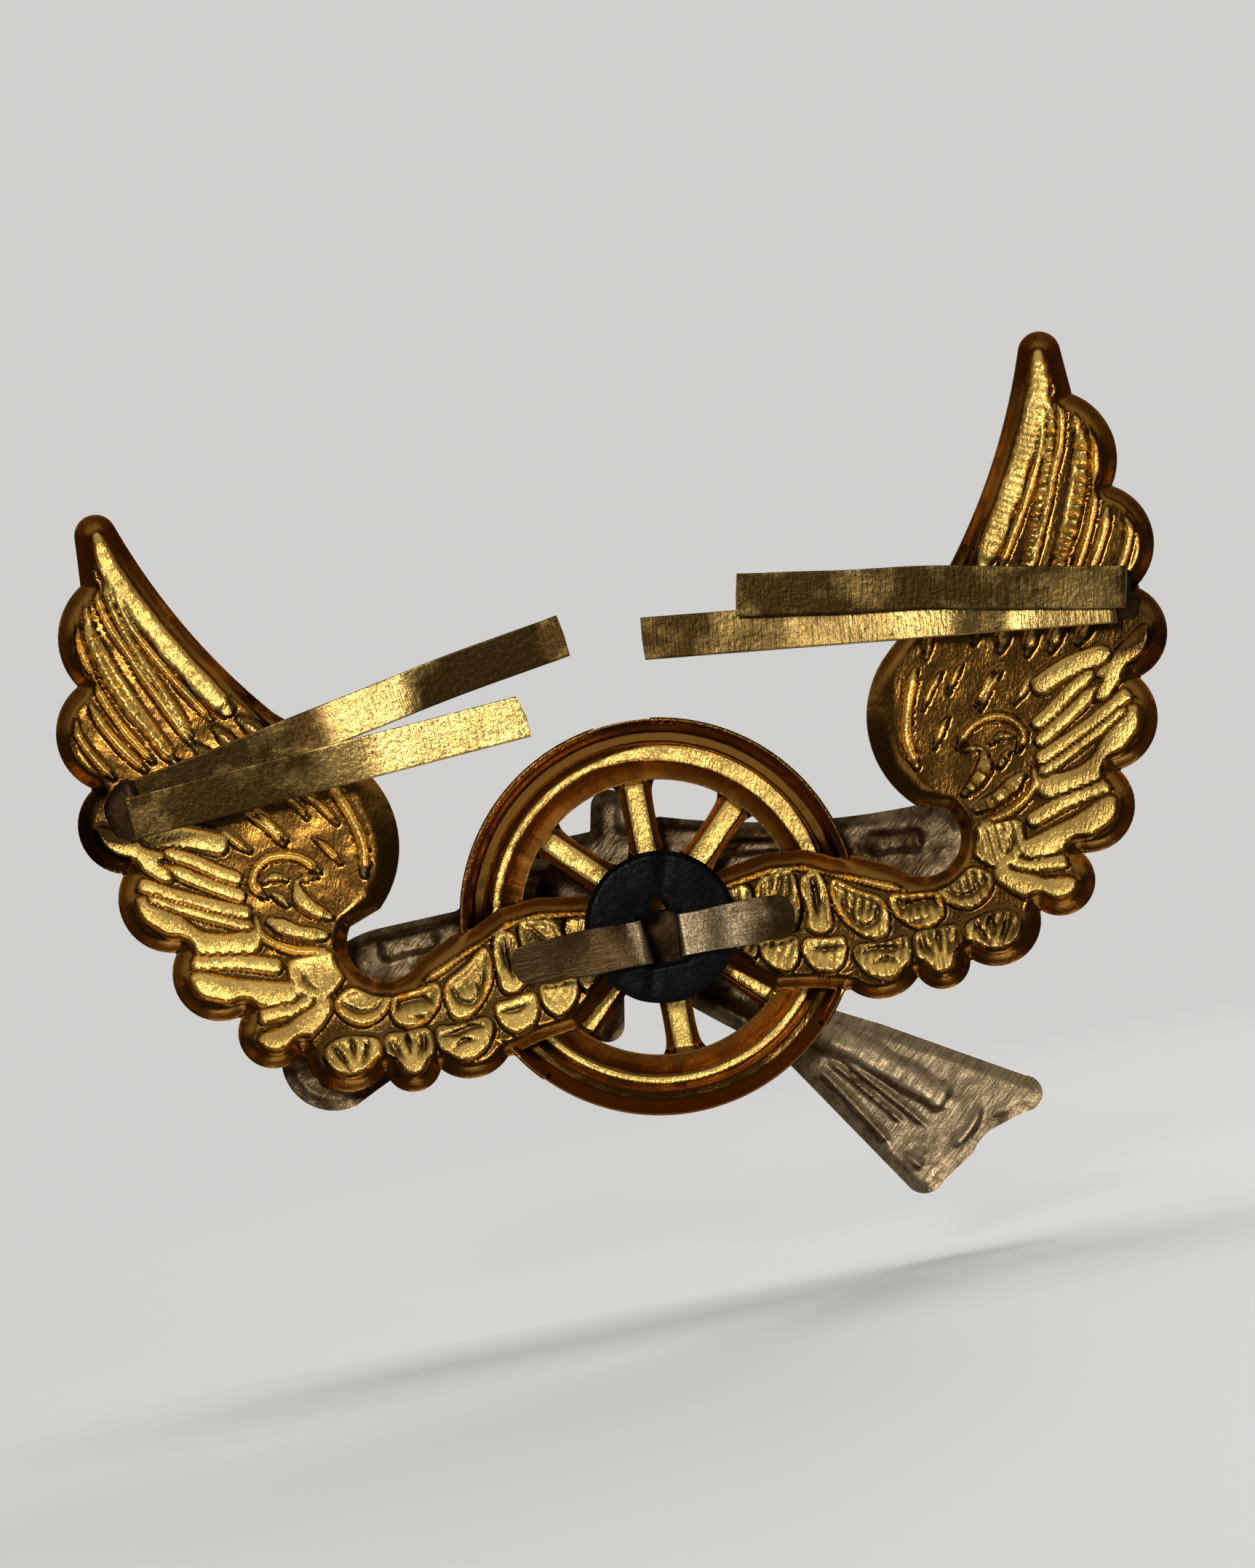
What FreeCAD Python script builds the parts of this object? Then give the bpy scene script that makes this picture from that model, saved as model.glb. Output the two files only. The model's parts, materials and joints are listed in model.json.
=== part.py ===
"""Winged wheel badge with an aeroplane mounted on its front.

A struck gilt brass plate (a spoked wheel between two feathered wings) carries a nickel silver aeroplane.
A flat strap brazed to the aeroplane runs back through the hub and a fibre washer and is bent over it.
Each wing carries a folded brass strip whose two legs are bent over whatever the badge is fastened to.

Frame: the display side faces -Y, the fastenings face +Y and the wing tips point to +Z. The origin is
the wheel's centre on the back plane of the wheel rim. Left is -X, as seen from the display side.
"""
import FreeCAD, Part
import math
import os

from FreeCAD import Placement, Rotation, Vector

DRIVING_DIMENSIONS = {
    "rim_outer_radius": 9.1,
    "rim_inner_radius": 6.3,
    "rim_depth": 2.2,
    "sheet_wall": 0.45,
    "spoke_count": 8,
    "spoke_width": 1.4,
    "spoke_depth": 1.5,
    "hub_radius": 2.9,
    "hub_depth": 1.9,
    "wing_back_recess": 0.2,
    "wing_sheet": 0.7,
    "feather_rise": 0.4,
    "border_rise": 0.25,
    "plane_sheet": 0.6,
    "plane_wing_rise": 0.35,
    "fuselage_radius": 1.6,
    "washer_radius": 3.5,
    "washer_sheet": 0.5,
    "washer_drop": 0.45,
    "slot_width": 2.1,
    "slot_height": 2.5,
    "strap_width": 2.0,
    "strap_sheet": 0.38,
    "strap_drop": 0.98,
    "strap_half_gap": 0.7,
    "strap_leg_height": 0.9,
    "tab_width": 1.95,
    "tab_sheet": 0.38,
    "tab_leg_spacing": 0.55,
    "under_leg_height": 1.0,
    "solder_rise": 0.3,
    "bend_gap": 0.05,
}

# One wing, clockwise from the inner side of its tip. Each step is a line's end or an arc's (via, end).
WING_TIP_START = (21.1, 22.35)
WING_OUTLINE = [
    ("arc", (22.15, 23.05), (23.0, 22.2)),
    ("line", (23.15, 19.95)),
    ("arc", (24.55, 18.1), (24.15, 15.45)),
    ("arc", (25.55, 13.5), (24.35, 10.7)),
    ("arc", (25.4, 8.9), (23.7, 6.6)),
    ("arc", (24.2, 4.7), (22.0, 2.6)),
    ("arc", (22.25, 0.4), (19.6, -0.8)),
    ("arc", (19.75, -2.7), (17.2, -3.0)),
    ("arc", (16.0, -5.0), (13.65, -4.6)),
    ("arc", (12.4, -5.75), (11.15, -4.95)),
    ("arc", (9.6, -5.65), (8.0, -4.95)),
    ("line", (6.9, -4.9)),
    ("line", (2.6, -2.4)),
    ("line", (2.6, 1.4)),
    ("line", (6.9, 1.75)),
    ("arc", (9.3, 1.05), (11.2, 0.1)),
    ("arc", (13.9, 0.1), (14.0, 2.25)),
    ("line", (12.5, 2.8)),
    ("arc", (11.0, 6.3), (12.6, 9.9)),
    ("line", (15.6, 12.6)),
    ("arc", (18.9, 17.4), (21.1, 22.35)),
]
# The smooth border along the wing's inner lobe.
BORDER_START = (12.9, 3.0)
BORDER_OUTLINE = [
    ("arc", (11.35, 6.3), (12.9, 9.7)),
    ("line", (13.9, 9.2)),
    ("arc", (12.5, 6.3), (13.7, 3.6)),
    ("line", BORDER_START),
]

# Feathers of one wing: (root, tip, width).
FEATHERS = [
    ((16.9, 13.0), (21.9, 21.9), 1.1),
    ((18.9, 12.6), (22.4, 19.2), 0.8),
    ((20.6, 12.0), (23.6, 18.6), 1.0),
    ((22.2, 11.6), (24.7, 14.4), 1.0),
    ((20.3, 7.0), (24.4, 9.3), 1.1),
    ((19.6, 5.2), (23.0, 6.0), 1.1),
    ((18.6, 3.1), (22.8, 4.2), 1.0),
    ((17.8, 1.0), (21.3, 0.7), 1.2),
    ((15.9, -1.4), (18.7, -1.9), 1.2),
    ((14.6, -2.4), (15.5, -4.3), 1.2),
    ((12.3, -2.4), (12.4, -4.7), 1.2),
    ((9.8, -2.4), (9.6, -4.6), 1.2),
]

# The aeroplane, seen from behind the badge with x growing to the left: its wings, tail and blades.
PLANE_WING_START = (9.2, 2.0)
PLANE_WING_OUTLINE = [
    ("line", (12.7, 1.9)),
    ("arc", (16.0, 0.6), (17.4, -1.6)),
    ("arc", (18.05, -4.9), (15.4, -5.95)),
    ("arc", (10.0, -3.6), (3.4, -1.6)),
    ("line", (-6.0, -1.2)),
    ("arc", (-12.8, -1.2), (-14.6, 1.2)),
    ("arc", (-14.2, 2.3), (-12.8, 2.75)),
    ("arc", (-7.0, 3.1), (-0.9, 4.5)),
    ("line", (3.6, 4.4)),
    ("line", PLANE_WING_START),
]
TAIL_START = (-4.7, -8.0)
TAIL_OUTLINE = [
    ("line", (-8.9, -14.4)),
    ("arc", (-9.7, -14.95), (-10.6, -14.5)),
    ("line", (-12.2, -13.5)),
    ("arc", (-12.6, -13.0), (-13.1, -12.65)),
    ("line", (-14.9, -12.1)),
    ("arc", (-15.85, -11.2), (-15.2, -10.45)),
    ("line", (-9.2, -6.9)),
    ("line", (-6.9, -5.7)),
    ("line", (-2.8, -2.1)),
    ("line", (-0.9, -4.1)),
    ("line", TAIL_START),
]
FUSELAGE_NOSE = (4.0, 1.7)
FUSELAGE_TAIL = (-12.0, -11.8)
BLADES = [
    ((2.4, 0.5), (1.35, 5.4), 1.6),
    ((2.4, 0.5), (3.3, -4.5), 1.6),
]

# Legs of the two wing tabs: root and tip of each centre line, and how far its middle bows upwards.
TAB_LEGS = {
    "right_tab": {"over": ((23.0, 9.0), (4.2, 10.2), 0.0), "under": ((22.4, 9.75), (1.8, 13.5), 0.0)},
    "left_tab": {"over": ((-23.8, 10.75), (-6.25, 13.9), 0.4), "under": ((-23.2, 10.2), (-1.65, 12.65), 0.0)},
}
STRAP_LEG_TIPS = {"left": -6.1, "right": 7.0}
TAB_TIP_RADIUS = 0.15
STRAP_TIP_RADIUS = 0.85

doc = FreeCAD.newDocument("WingedWheelBadge")
sheet = doc.addObject("Spreadsheet::Sheet", "Dimensions")


def fill_sheet():
    for row, (alias, value) in enumerate(DRIVING_DIMENSIONS.items(), start=1):
        sheet.set(f"A{row}", alias)
        sheet.set(f"B{row}", str(value))
        sheet.setAlias(f"B{row}", alias)
    doc.recompute()


def size(alias):
    return float(sheet.get(alias))


def bind(feature, prop, formula):
    """Tie a property to the sheet. Aliases in the formula are written between < and >."""
    feature.setExpression(prop, formula.replace("<", "Dimensions.").replace(">", ""))


def new_body(label):
    body = doc.addObject("PartDesign::Body", label)
    body.Label = label
    return body


def origin_feature(body, role):
    for feature in body.Origin.OriginFeatures:
        if feature.Role == role:
            return feature
    raise ValueError(role)


def new_sketch(body, name, plane, depth="0"):
    """A sketch parallel to one of the body's planes, moved along that plane's normal by a formula."""
    sketch = body.newObject("Sketcher::SketchObject", name)
    sketch.AttachmentSupport = [(origin_feature(body, plane), "")]
    sketch.MapMode = "FlatFace"
    bind(sketch, ".AttachmentOffset.Base.z", depth)
    return sketch


def draw(sketch, start, steps):
    """Add a closed outline of lines and three-point arcs."""
    here = Vector(start[0], start[1], 0)
    for step in steps:
        end = Vector(step[-1][0], step[-1][1], 0)
        if step[0] == "line":
            sketch.addGeometry(Part.LineSegment(here, end), False)
        else:
            via = Vector(step[1][0], step[1][1], 0)
            sketch.addGeometry(Part.Arc(here, via, end), False)
        here = end


def draw_slot(sketch, root, tip, width):
    """A round-ended bar between two points."""
    a = Vector(root[0], root[1], 0)
    b = Vector(tip[0], tip[1], 0)
    along = (b - a).normalize() * (width / 2)
    side = Vector(-along.y, along.x, 0)
    corners = [a + side, b + side, b - side, a - side]
    sketch.addGeometry(Part.LineSegment(corners[0], corners[1]), False)
    sketch.addGeometry(Part.Arc(corners[1], b + along, corners[2]), False)
    sketch.addGeometry(Part.LineSegment(corners[2], corners[3]), False)
    sketch.addGeometry(Part.Arc(corners[3], a - along, corners[0]), False)


def pad(body, sketch, length, midplane=False, reverse=False):
    feature = body.newObject("PartDesign::Pad", sketch.Name + "Pad")
    feature.Profile = sketch
    bind(feature, "Length", length)
    feature.Midplane = midplane
    feature.Reversed = reverse
    sketch.Visibility = False
    doc.recompute()
    return feature


def cut(body, sketch, length):
    """A pocket that is checked to have removed something."""
    before = body.Shape.Volume
    feature = body.newObject("PartDesign::Pocket", sketch.Name + "Cut")
    feature.Profile = sketch
    bind(feature, "Length", length)
    feature.Midplane = True
    doc.recompute()
    if body.Shape.Volume >= before - 1e-6:
        raise ValueError(sketch.Name + " cuts nothing")
    return feature


def revolve(body, sketch, axis, angle=360.0):
    feature = body.newObject("PartDesign::Revolution", sketch.Name + "Turn")
    feature.Profile = sketch
    feature.ReferenceAxis = axis
    feature.Angle = angle
    doc.recompute()
    return feature


def rectangle(x_low, z_low, x_high, z_high):
    start = (x_low, z_low)
    steps = [
        ("line", (x_high, z_low)),
        ("line", (x_high, z_high)),
        ("line", (x_low, z_high)),
        ("line", start),
    ]
    return start, steps


def build_rim(body):
    """The rim is a half-round channel, open towards the back."""
    outer = size("rim_outer_radius")
    inner = size("rim_inner_radius")
    depth = size("rim_depth")
    wall = size("sheet_wall")
    middle = (outer + inner) / 2
    flat = 0.4
    shoulder = 0.7 * depth
    sketch = new_sketch(body, "RimSection", "XY_Plane")
    steps = [
        ("arc", (outer - 0.25, -shoulder), (middle + flat, -depth)),
        ("line", (middle - flat, -depth)),
        ("arc", (inner + 0.25, -shoulder), (inner, 0.0)),
        ("line", (inner + wall, 0.0)),
        ("arc", (middle, wall - depth), (outer - wall, 0.0)),
        ("line", (outer, 0.0)),
    ]
    draw(sketch, (outer, 0.0), steps)
    return revolve(body, sketch, (sketch, ["V_Axis"]))


def build_hub(body):
    """A dished disc, hollow towards the back."""
    radius = size("hub_radius")
    depth = size("hub_depth")
    wall = size("sheet_wall")
    sketch = new_sketch(body, "HubSection", "XY_Plane")
    steps = [
        ("line", (0.0, wall - depth)),
        ("line", (radius - wall, wall - depth)),
        ("line", (radius - wall, 0.0)),
        ("line", (radius, 0.0)),
        ("line", (radius, 0.3 - depth)),
        ("line", (radius - 0.3, -depth)),
        ("line", (0.0, -depth)),
    ]
    draw(sketch, (0.0, -depth), steps)
    return revolve(body, sketch, (sketch, ["V_Axis"]))


def build_spokes(body):
    """Half-round channels between the hub and the rim, like the rim open towards the back."""
    half = size("spoke_width") / 2
    depth = size("spoke_depth")
    wall = size("sheet_wall")
    lip = 0.25
    sketch = new_sketch(body, "SpokeSection", "XY_Plane", "<hub_radius> - 0.2")
    steps = [
        ("line", (-half, -lip - 0.4)),
        ("arc", (0.0, -depth), (half, -lip - 0.4)),
        ("line", (half, -lip)),
        ("line", (half - 0.8 * wall, -lip)),
        ("arc", (0.0, wall - depth), (0.8 * wall - half, -lip)),
        ("line", (-half, -lip)),
    ]
    draw(sketch, (-half, -lip), steps)
    spoke = pad(body, sketch, "<rim_inner_radius> - <hub_radius> + 0.5")
    pattern = body.newObject("PartDesign::PolarPattern", "Spokes")
    pattern.Originals = [spoke]
    pattern.Axis = (origin_feature(body, "Y_Axis"), [""])
    pattern.Angle = 360.0
    bind(pattern, "Occurrences", "<spoke_count>")
    body.Tip = pattern
    doc.recompute()
    return pattern


def build_wings(body):
    """One wing with its border and feathers, then its mirror image."""
    sketch = new_sketch(body, "WingOutline", "XZ_Plane", "<wing_back_recess>")
    draw(sketch, WING_TIP_START, WING_OUTLINE)
    features = [pad(body, sketch, "<wing_sheet>")]
    top = "<wing_back_recess> + <wing_sheet> - 0.1"
    sketch = new_sketch(body, "WingBorder", "XZ_Plane", top)
    draw(sketch, BORDER_START, BORDER_OUTLINE)
    features.append(pad(body, sketch, "<border_rise> + 0.1"))
    for number, (root, tip, width) in enumerate(FEATHERS):
        sketch = new_sketch(body, f"Feather{number}Outline", "XZ_Plane", top)
        draw_slot(sketch, root, tip, width)
        features.append(pad(body, sketch, "<feather_rise> + 0.1"))
    mirror = body.newObject("PartDesign::Mirrored", "OtherWing")
    mirror.Originals = features
    mirror.MirrorPlane = (origin_feature(body, "YZ_Plane"), [""])
    body.Tip = mirror
    doc.recompute()


def build_winged_wheel():
    body = new_body("winged_wheel")
    build_rim(body)
    build_hub(body)
    build_spokes(body)
    build_wings(body)
    sketch = new_sketch(body, "HubSlot", "XZ_Plane")
    half_width = size("slot_width") / 2
    half_height = size("slot_height") / 2
    drop = size("strap_drop")
    draw(sketch, *rectangle(-half_width, -drop - half_height, half_width, half_height - drop))
    cut(body, sketch, "4 * <rim_depth>")


def build_aeroplane():
    body = new_body("aeroplane")
    sketch = new_sketch(body, "WingPlan", "XZ_Plane", "<rim_depth>")
    draw(sketch, PLANE_WING_START, PLANE_WING_OUTLINE)
    pad(body, sketch, "<plane_sheet>")
    sketch = new_sketch(body, "TailPlan", "XZ_Plane", "<rim_depth>")
    draw(sketch, TAIL_START, TAIL_OUTLINE)
    pad(body, sketch, "<plane_sheet>")
    for number, (root, tip, width) in enumerate(BLADES):
        sketch = new_sketch(body, f"Blade{number}Plan", "XZ_Plane", "<rim_depth>")
        draw_slot(sketch, root, tip, width)
        pad(body, sketch, "<plane_sheet> + <plane_wing_rise>")
    build_fuselage(body)


def build_fuselage(body):
    """Half of a spindle, flat towards the back, from the nose to the fan tail."""
    radius = size("fuselage_radius")
    nose = Vector(FUSELAGE_NOSE[0], FUSELAGE_NOSE[1], 0)
    tail = Vector(FUSELAGE_TAIL[0], FUSELAGE_TAIL[1], 0)
    along = (tail - nose).normalize()
    side = Vector(-along.y, along.x, 0)
    length = (tail - nose).Length
    shoulder = nose + along * 0.25 * length + side * radius
    belly = nose + along * 0.1 * length + side * 0.92 * radius
    rump = nose + along * 0.65 * length + side * 0.85 * radius
    sketch = new_sketch(body, "FuselageProfile", "XZ_Plane", "<rim_depth>")
    sketch.addGeometry(Part.Arc(nose, belly, shoulder), False)
    sketch.addGeometry(Part.Arc(shoulder, rump, tail), False)
    sketch.addGeometry(Part.LineSegment(tail, nose), False)
    sketch.addGeometry(Part.LineSegment(nose, tail), True)
    before = body.Shape.BoundBox.YMin
    feature = revolve(body, sketch, (sketch, ["Axis0"]), 180.0)
    if body.Shape.BoundBox.YMin > before - 0.1:
        feature.Reversed = True
        doc.recompute()


def build_washer():
    body = new_body("hub_washer")
    sketch = new_sketch(body, "WasherDisc", "XZ_Plane")
    centre = Vector(0, -size("washer_drop"), 0)
    sketch.addGeometry(Part.Circle(centre, Vector(0, 0, 1), size("washer_radius")), False)
    pad(body, sketch, "<washer_sheet>", reverse=True)
    sketch = new_sketch(body, "WasherSlot", "XZ_Plane")
    half_width = size("slot_width") / 2 - 0.1
    low = -size("strap_drop") - size("slot_height") / 2 + 0.1
    high = low + size("slot_height") + 0.5
    draw(sketch, *rectangle(-half_width, low, half_width, high))
    cut(body, sketch, "4 * <washer_sheet>")


def build_leg(label, strip, length, bow, tip_radius):
    """A flat leg along +X with its round bend on the Z axis. It lies in the XZ plane of its own body.

    The strip is "tab" or "strap", whose width and sheet are in the driving dimensions.
    """
    body = new_body(label)
    half = size(f"{strip}_width") / 2
    sketch = new_sketch(body, "LegOutline", "XZ_Plane")
    middle = length / 2
    steps = [
        ("arc" if bow else "line", (middle, bow - half), (length, -half)),
        ("line", (length, half)),
        ("arc" if bow else "line", (middle, bow + half), (0.0, half)),
        ("line", (0.0, -half)),
    ]
    draw(sketch, (0.0, -half), steps)
    pad(body, sketch, f"<{strip}_sheet>", midplane=True)
    sketch = new_sketch(body, "BendSection", "XY_Plane")
    knuckle_radius = size(f"{strip}_sheet") / 2
    sketch.addGeometry(Part.Circle(Vector(0, 0, 0), Vector(0, 0, 1), knuckle_radius), False)
    pad(body, sketch, f"<{strip}_width>", midplane=True)
    round_tip(body, length, tip_radius)
    return body


def round_tip(body, length, radius):
    """Round the two upright edges at the far end of a leg."""
    base = body.Tip
    names = []
    for number, edge in enumerate(base.Shape.Edges, start=1):
        ends = [vertex.Point for vertex in edge.Vertexes]
        at_tip = all(abs(point.x - length) < 1e-4 for point in ends)
        upright = len(ends) == 2 and abs(ends[0].z - ends[1].z) < 1e-4
        if at_tip and upright:
            names.append(f"Edge{number}")
    fillet = body.newObject("PartDesign::Fillet", "TipRounding")
    fillet.Base = (base, names)
    fillet.Radius = radius
    doc.recompute()


def heading(root, tip):
    """Placement rotation that turns +X towards the tip while +Y stays the back."""
    angle = math.degrees(math.atan2(tip[1] - root[1], tip[0] - root[0]))
    return Rotation(Vector(0, -1, 0), angle)


def build_tab_legs():
    for tab, legs in TAB_LEGS.items():
        for layer, (root, tip, bow) in legs.items():
            length = math.dist(root, tip)
            height = size("under_leg_height")
            if layer == "over":
                height += size("tab_leg_spacing")
            sideways = bow if tab == "right_tab" else -bow
            body = build_leg(f"{tab}_{layer}_leg", "tab", length, sideways, TAB_TIP_RADIUS)
            body.Placement = Placement(Vector(root[0], height, root[1]), heading(root, tip))


def tab_frame(tab):
    """Middle of a tab's root and the mean direction of its two legs."""
    over = TAB_LEGS[tab]["over"]
    under = TAB_LEGS[tab]["under"]
    root = ((over[0][0] + under[0][0]) / 2, (over[0][1] + under[0][1]) / 2)
    tip = ((over[1][0] + under[1][0]) / 2, (over[1][1] + under[1][1]) / 2)
    return root, tip


def build_tab_fold(tab):
    """The folded root of a wing tab: a narrow U whose unequal arms end just under the two bends."""
    root, tip = tab_frame(tab)
    sheet_half = size("tab_sheet") / 2
    arm = size("tab_leg_spacing") / 2
    under_top = size("under_leg_height") - sheet_half - size("bend_gap")
    over_top = under_top + size("tab_leg_spacing")
    bottom = -size("wing_back_recess")
    floor = bottom + size("tab_sheet")
    body = new_body(f"{tab}_fold")
    sketch = new_sketch(body, "FoldSection", "XY_Plane")
    steps = [
        ("line", (arm + sheet_half, bottom)),
        ("line", (arm + sheet_half, under_top)),
        ("line", (arm - sheet_half, under_top)),
        ("line", (arm - sheet_half, floor)),
        ("line", (sheet_half - arm, floor)),
        ("line", (sheet_half - arm, over_top)),
        ("line", (-arm - sheet_half, over_top)),
        ("line", (-arm - sheet_half, bottom)),
    ]
    draw(sketch, (-arm - sheet_half, bottom), steps)
    pad(body, sketch, "<tab_width>", midplane=True)
    body.Placement = Placement(Vector(root[0], 0, root[1]), heading(root, tip))


def build_tab_solder(tab):
    """The brazing around a fold's foot."""
    root, tip = tab_frame(tab)
    foot = (size("tab_leg_spacing") + size("tab_sheet")) / 2
    half = size("tab_width") / 2
    rim = 0.55
    body = new_body(f"{tab}_solder")
    sketch = new_sketch(body, "SolderOutline", "XZ_Plane", "<wing_back_recess>")
    draw_slot(sketch, (0.0, -half), (0.0, half), 2 * (foot + rim))
    draw(sketch, *rectangle(-foot, -half, foot, half))
    pad(body, sketch, "<solder_rise>", reverse=True)
    body.Placement = Placement(Vector(root[0], 0, root[1]), heading(root, tip))


def build_strap():
    """The strap's U-shaped middle on the aeroplane's back, and its two bent legs."""
    sheet_half = size("strap_sheet") / 2
    half_gap = size("strap_half_gap")
    outer = half_gap + sheet_half
    inner = half_gap - sheet_half
    bottom = -size("rim_depth")
    floor = bottom + size("strap_sheet")
    top = size("strap_leg_height") - sheet_half - size("bend_gap")
    body = new_body("strap_fold")
    sketch = new_sketch(body, "StrapSection", "XY_Plane", "-<strap_drop>")
    steps = [
        ("line", (outer, bottom)),
        ("line", (outer, top)),
        ("line", (inner, top)),
        ("line", (inner, floor)),
        ("line", (-inner, floor)),
        ("line", (-inner, top)),
        ("line", (-outer, top)),
        ("line", (-outer, bottom)),
    ]
    draw(sketch, (-outer, bottom), steps)
    pad(body, sketch, "<strap_width>", midplane=True)
    for side, tip_x in STRAP_LEG_TIPS.items():
        root = (math.copysign(half_gap, tip_x), -size("strap_drop"))
        tip = (tip_x, -size("strap_drop"))
        leg = build_leg(f"strap_{side}_leg", "strap", math.dist(root, tip), 0.0, STRAP_TIP_RADIUS)
        leg.Placement = Placement(Vector(root[0], size("strap_leg_height"), root[1]), heading(root, tip))


def build_strap_solder():
    """Two fillets of solder between the strap's foot and the aeroplane."""
    outer = size("strap_half_gap") + size("strap_sheet") / 2
    bottom = -size("rim_depth")
    body = new_body("strap_solder")
    sketch = new_sketch(body, "SolderSection", "XZ_Plane", "<rim_depth>")
    half = size("strap_width") / 2
    drop = size("strap_drop")
    reach = 0.9
    draw(sketch, *rectangle(-outer - reach, -drop - half - 0.4, outer + reach, half + 0.4 - drop))
    draw(sketch, *rectangle(-outer, -drop - half, outer, half - drop))
    pad(body, sketch, "0.25", reverse=True)
    if body.Shape.BoundBox.YMin < bottom - 1e-6:
        raise ValueError("strap solder lies inside the aeroplane")


def check_and_export():
    broken = [item.Name for item in doc.Objects if {"Invalid", "Error"} & set(item.State)]
    if broken:
        raise ValueError(f"failed objects: {broken}")
    bodies = [item for item in doc.Objects if item.TypeId == "PartDesign::Body"]
    for body in bodies:
        shape = body.Shape
        if shape.isNull() or not shape.isValid() or len(shape.Solids) != 1:
            raise ValueError(f"bad shape: {body.Label} {len(shape.Solids)}")
    os.makedirs("parts", exist_ok=True)
    for body in bodies:
        body.Shape.exportStep(f"parts/{body.Label}.step")
        box = body.Shape.BoundBox
        print(f"{body.Label:24s} {body.Shape.Volume:8.2f} mm3  Y {box.YMin:6.2f} {box.YMax:6.2f}")


fill_sheet()
build_winged_wheel()
build_aeroplane()
build_washer()
build_strap()
build_strap_solder()
build_tab_legs()
for tab_name in TAB_LEGS:
    build_tab_fold(tab_name)
    build_tab_solder(tab_name)
doc.recompute()
check_and_export()
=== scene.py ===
"""Winged wheel badge, seen from its fastening side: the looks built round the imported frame.

Lengths are written in millimetres and made metres when a mesh is placed. The fastening side faces +Y, z grows
to the wing tips, and x grows to the wing on the right when the badge is seen from its front, at -Y.
"""
import json
import math
from collections import namedtuple

import bmesh
import bpy
import numpy as np
from bpy.props import FloatProperty, FloatVectorProperty, PointerProperty
from mathutils import Matrix, Vector


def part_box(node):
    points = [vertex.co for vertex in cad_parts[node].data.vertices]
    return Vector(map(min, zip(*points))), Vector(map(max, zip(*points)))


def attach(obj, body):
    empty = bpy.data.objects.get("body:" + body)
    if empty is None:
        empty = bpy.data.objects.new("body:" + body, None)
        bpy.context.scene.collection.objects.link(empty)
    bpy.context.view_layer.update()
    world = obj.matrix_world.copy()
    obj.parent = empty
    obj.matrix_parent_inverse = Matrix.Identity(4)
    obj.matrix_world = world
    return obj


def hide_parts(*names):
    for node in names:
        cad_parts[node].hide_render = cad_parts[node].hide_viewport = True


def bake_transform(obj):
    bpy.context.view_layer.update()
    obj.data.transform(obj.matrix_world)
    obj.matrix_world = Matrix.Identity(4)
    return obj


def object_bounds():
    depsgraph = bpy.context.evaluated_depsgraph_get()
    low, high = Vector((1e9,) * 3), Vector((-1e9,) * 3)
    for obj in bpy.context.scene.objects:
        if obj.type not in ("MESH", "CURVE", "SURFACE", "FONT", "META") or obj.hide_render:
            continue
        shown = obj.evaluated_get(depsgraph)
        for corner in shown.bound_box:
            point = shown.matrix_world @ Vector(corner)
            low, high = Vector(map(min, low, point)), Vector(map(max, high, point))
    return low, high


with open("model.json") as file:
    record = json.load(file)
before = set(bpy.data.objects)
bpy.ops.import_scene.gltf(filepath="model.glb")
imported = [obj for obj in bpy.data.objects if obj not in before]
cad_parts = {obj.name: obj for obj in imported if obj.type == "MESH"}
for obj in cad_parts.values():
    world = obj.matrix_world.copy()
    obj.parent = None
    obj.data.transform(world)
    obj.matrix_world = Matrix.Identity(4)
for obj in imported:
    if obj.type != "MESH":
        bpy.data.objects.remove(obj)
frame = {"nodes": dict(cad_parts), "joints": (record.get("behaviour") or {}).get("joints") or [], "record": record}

bl_info = {
    "name": "Winged wheel badge",
    "version": (1, 0, 0),
    "blender": (4, 5, 0),
    "location": "View3D > Sidebar > Badge",
    "description": "Builds a struck winged wheel badge with its aeroplane, strap and bendable tabs",
    "category": "Object",
}

MM = 0.001
CAD_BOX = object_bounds()
FAR = 9.0

# ---------------------------------------------------------------- places read from the frame


def node_box(node):
    """Lowest and highest corner of a CAD node, in millimetres."""
    low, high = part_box(node)
    return Vector(low) / MM, Vector(high) / MM


def boxed(low, high, margin=0.1):
    """The x and z corners of a box with a margin round it."""
    return (low.x - margin, low.z - margin), (high.x + margin, high.z + margin)


def strap_drop():
    """Height of the strap's middle, below the wheel's axis."""
    low, high = node_box("strap_fold")
    return (low.z + high.z) / 2


def section_outline(node, depth, least=0.09):
    """Longest outline of a CAD node's section at one depth, its points no nearer together than the least."""
    work = bmesh.new()
    work.from_mesh(frame["nodes"][node].data)
    bmesh.ops.remove_doubles(work, verts=work.verts, dist=1e-7)
    bmesh.ops.bisect_plane(
        work,
        geom=work.verts[:] + work.edges[:] + work.faces[:],
        dist=1e-8,
        plane_co=(0, depth * MM, 0),
        plane_no=(0, 1, 0),
        clear_inner=True,
        clear_outer=True,
    )

    def order(vertex):
        """A fixed start and direction for each loop, so that every run gives the same points."""
        return vertex.co.x, vertex.co.z

    loops = []
    left = set(work.verts)
    while left:
        here = min(left, key=order)
        left.remove(here)
        loop = [here]
        while True:
            neighbours = [edge.other_vert(here) for edge in here.link_edges]
            onward = [vertex for vertex in neighbours if vertex in left]
            if not onward:
                break
            here = min(onward, key=order)
            left.remove(here)
            loop.append(here)
        if len(loop) > 2:
            loops.append(np.array([(v.co.x / MM, v.co.z / MM) for v in loop]))
    work.free()
    loop = max(loops, key=lambda loop: np.abs(np.diff(loop, axis=0)).sum())
    kept = [loop[0]]
    for point in loop[1:]:
        if np.hypot(*(point - kept[-1])) > least:
            kept.append(point)
    return np.array(kept)


# ---------------------------------------------------------------- plane shapes as signed distances


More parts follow.
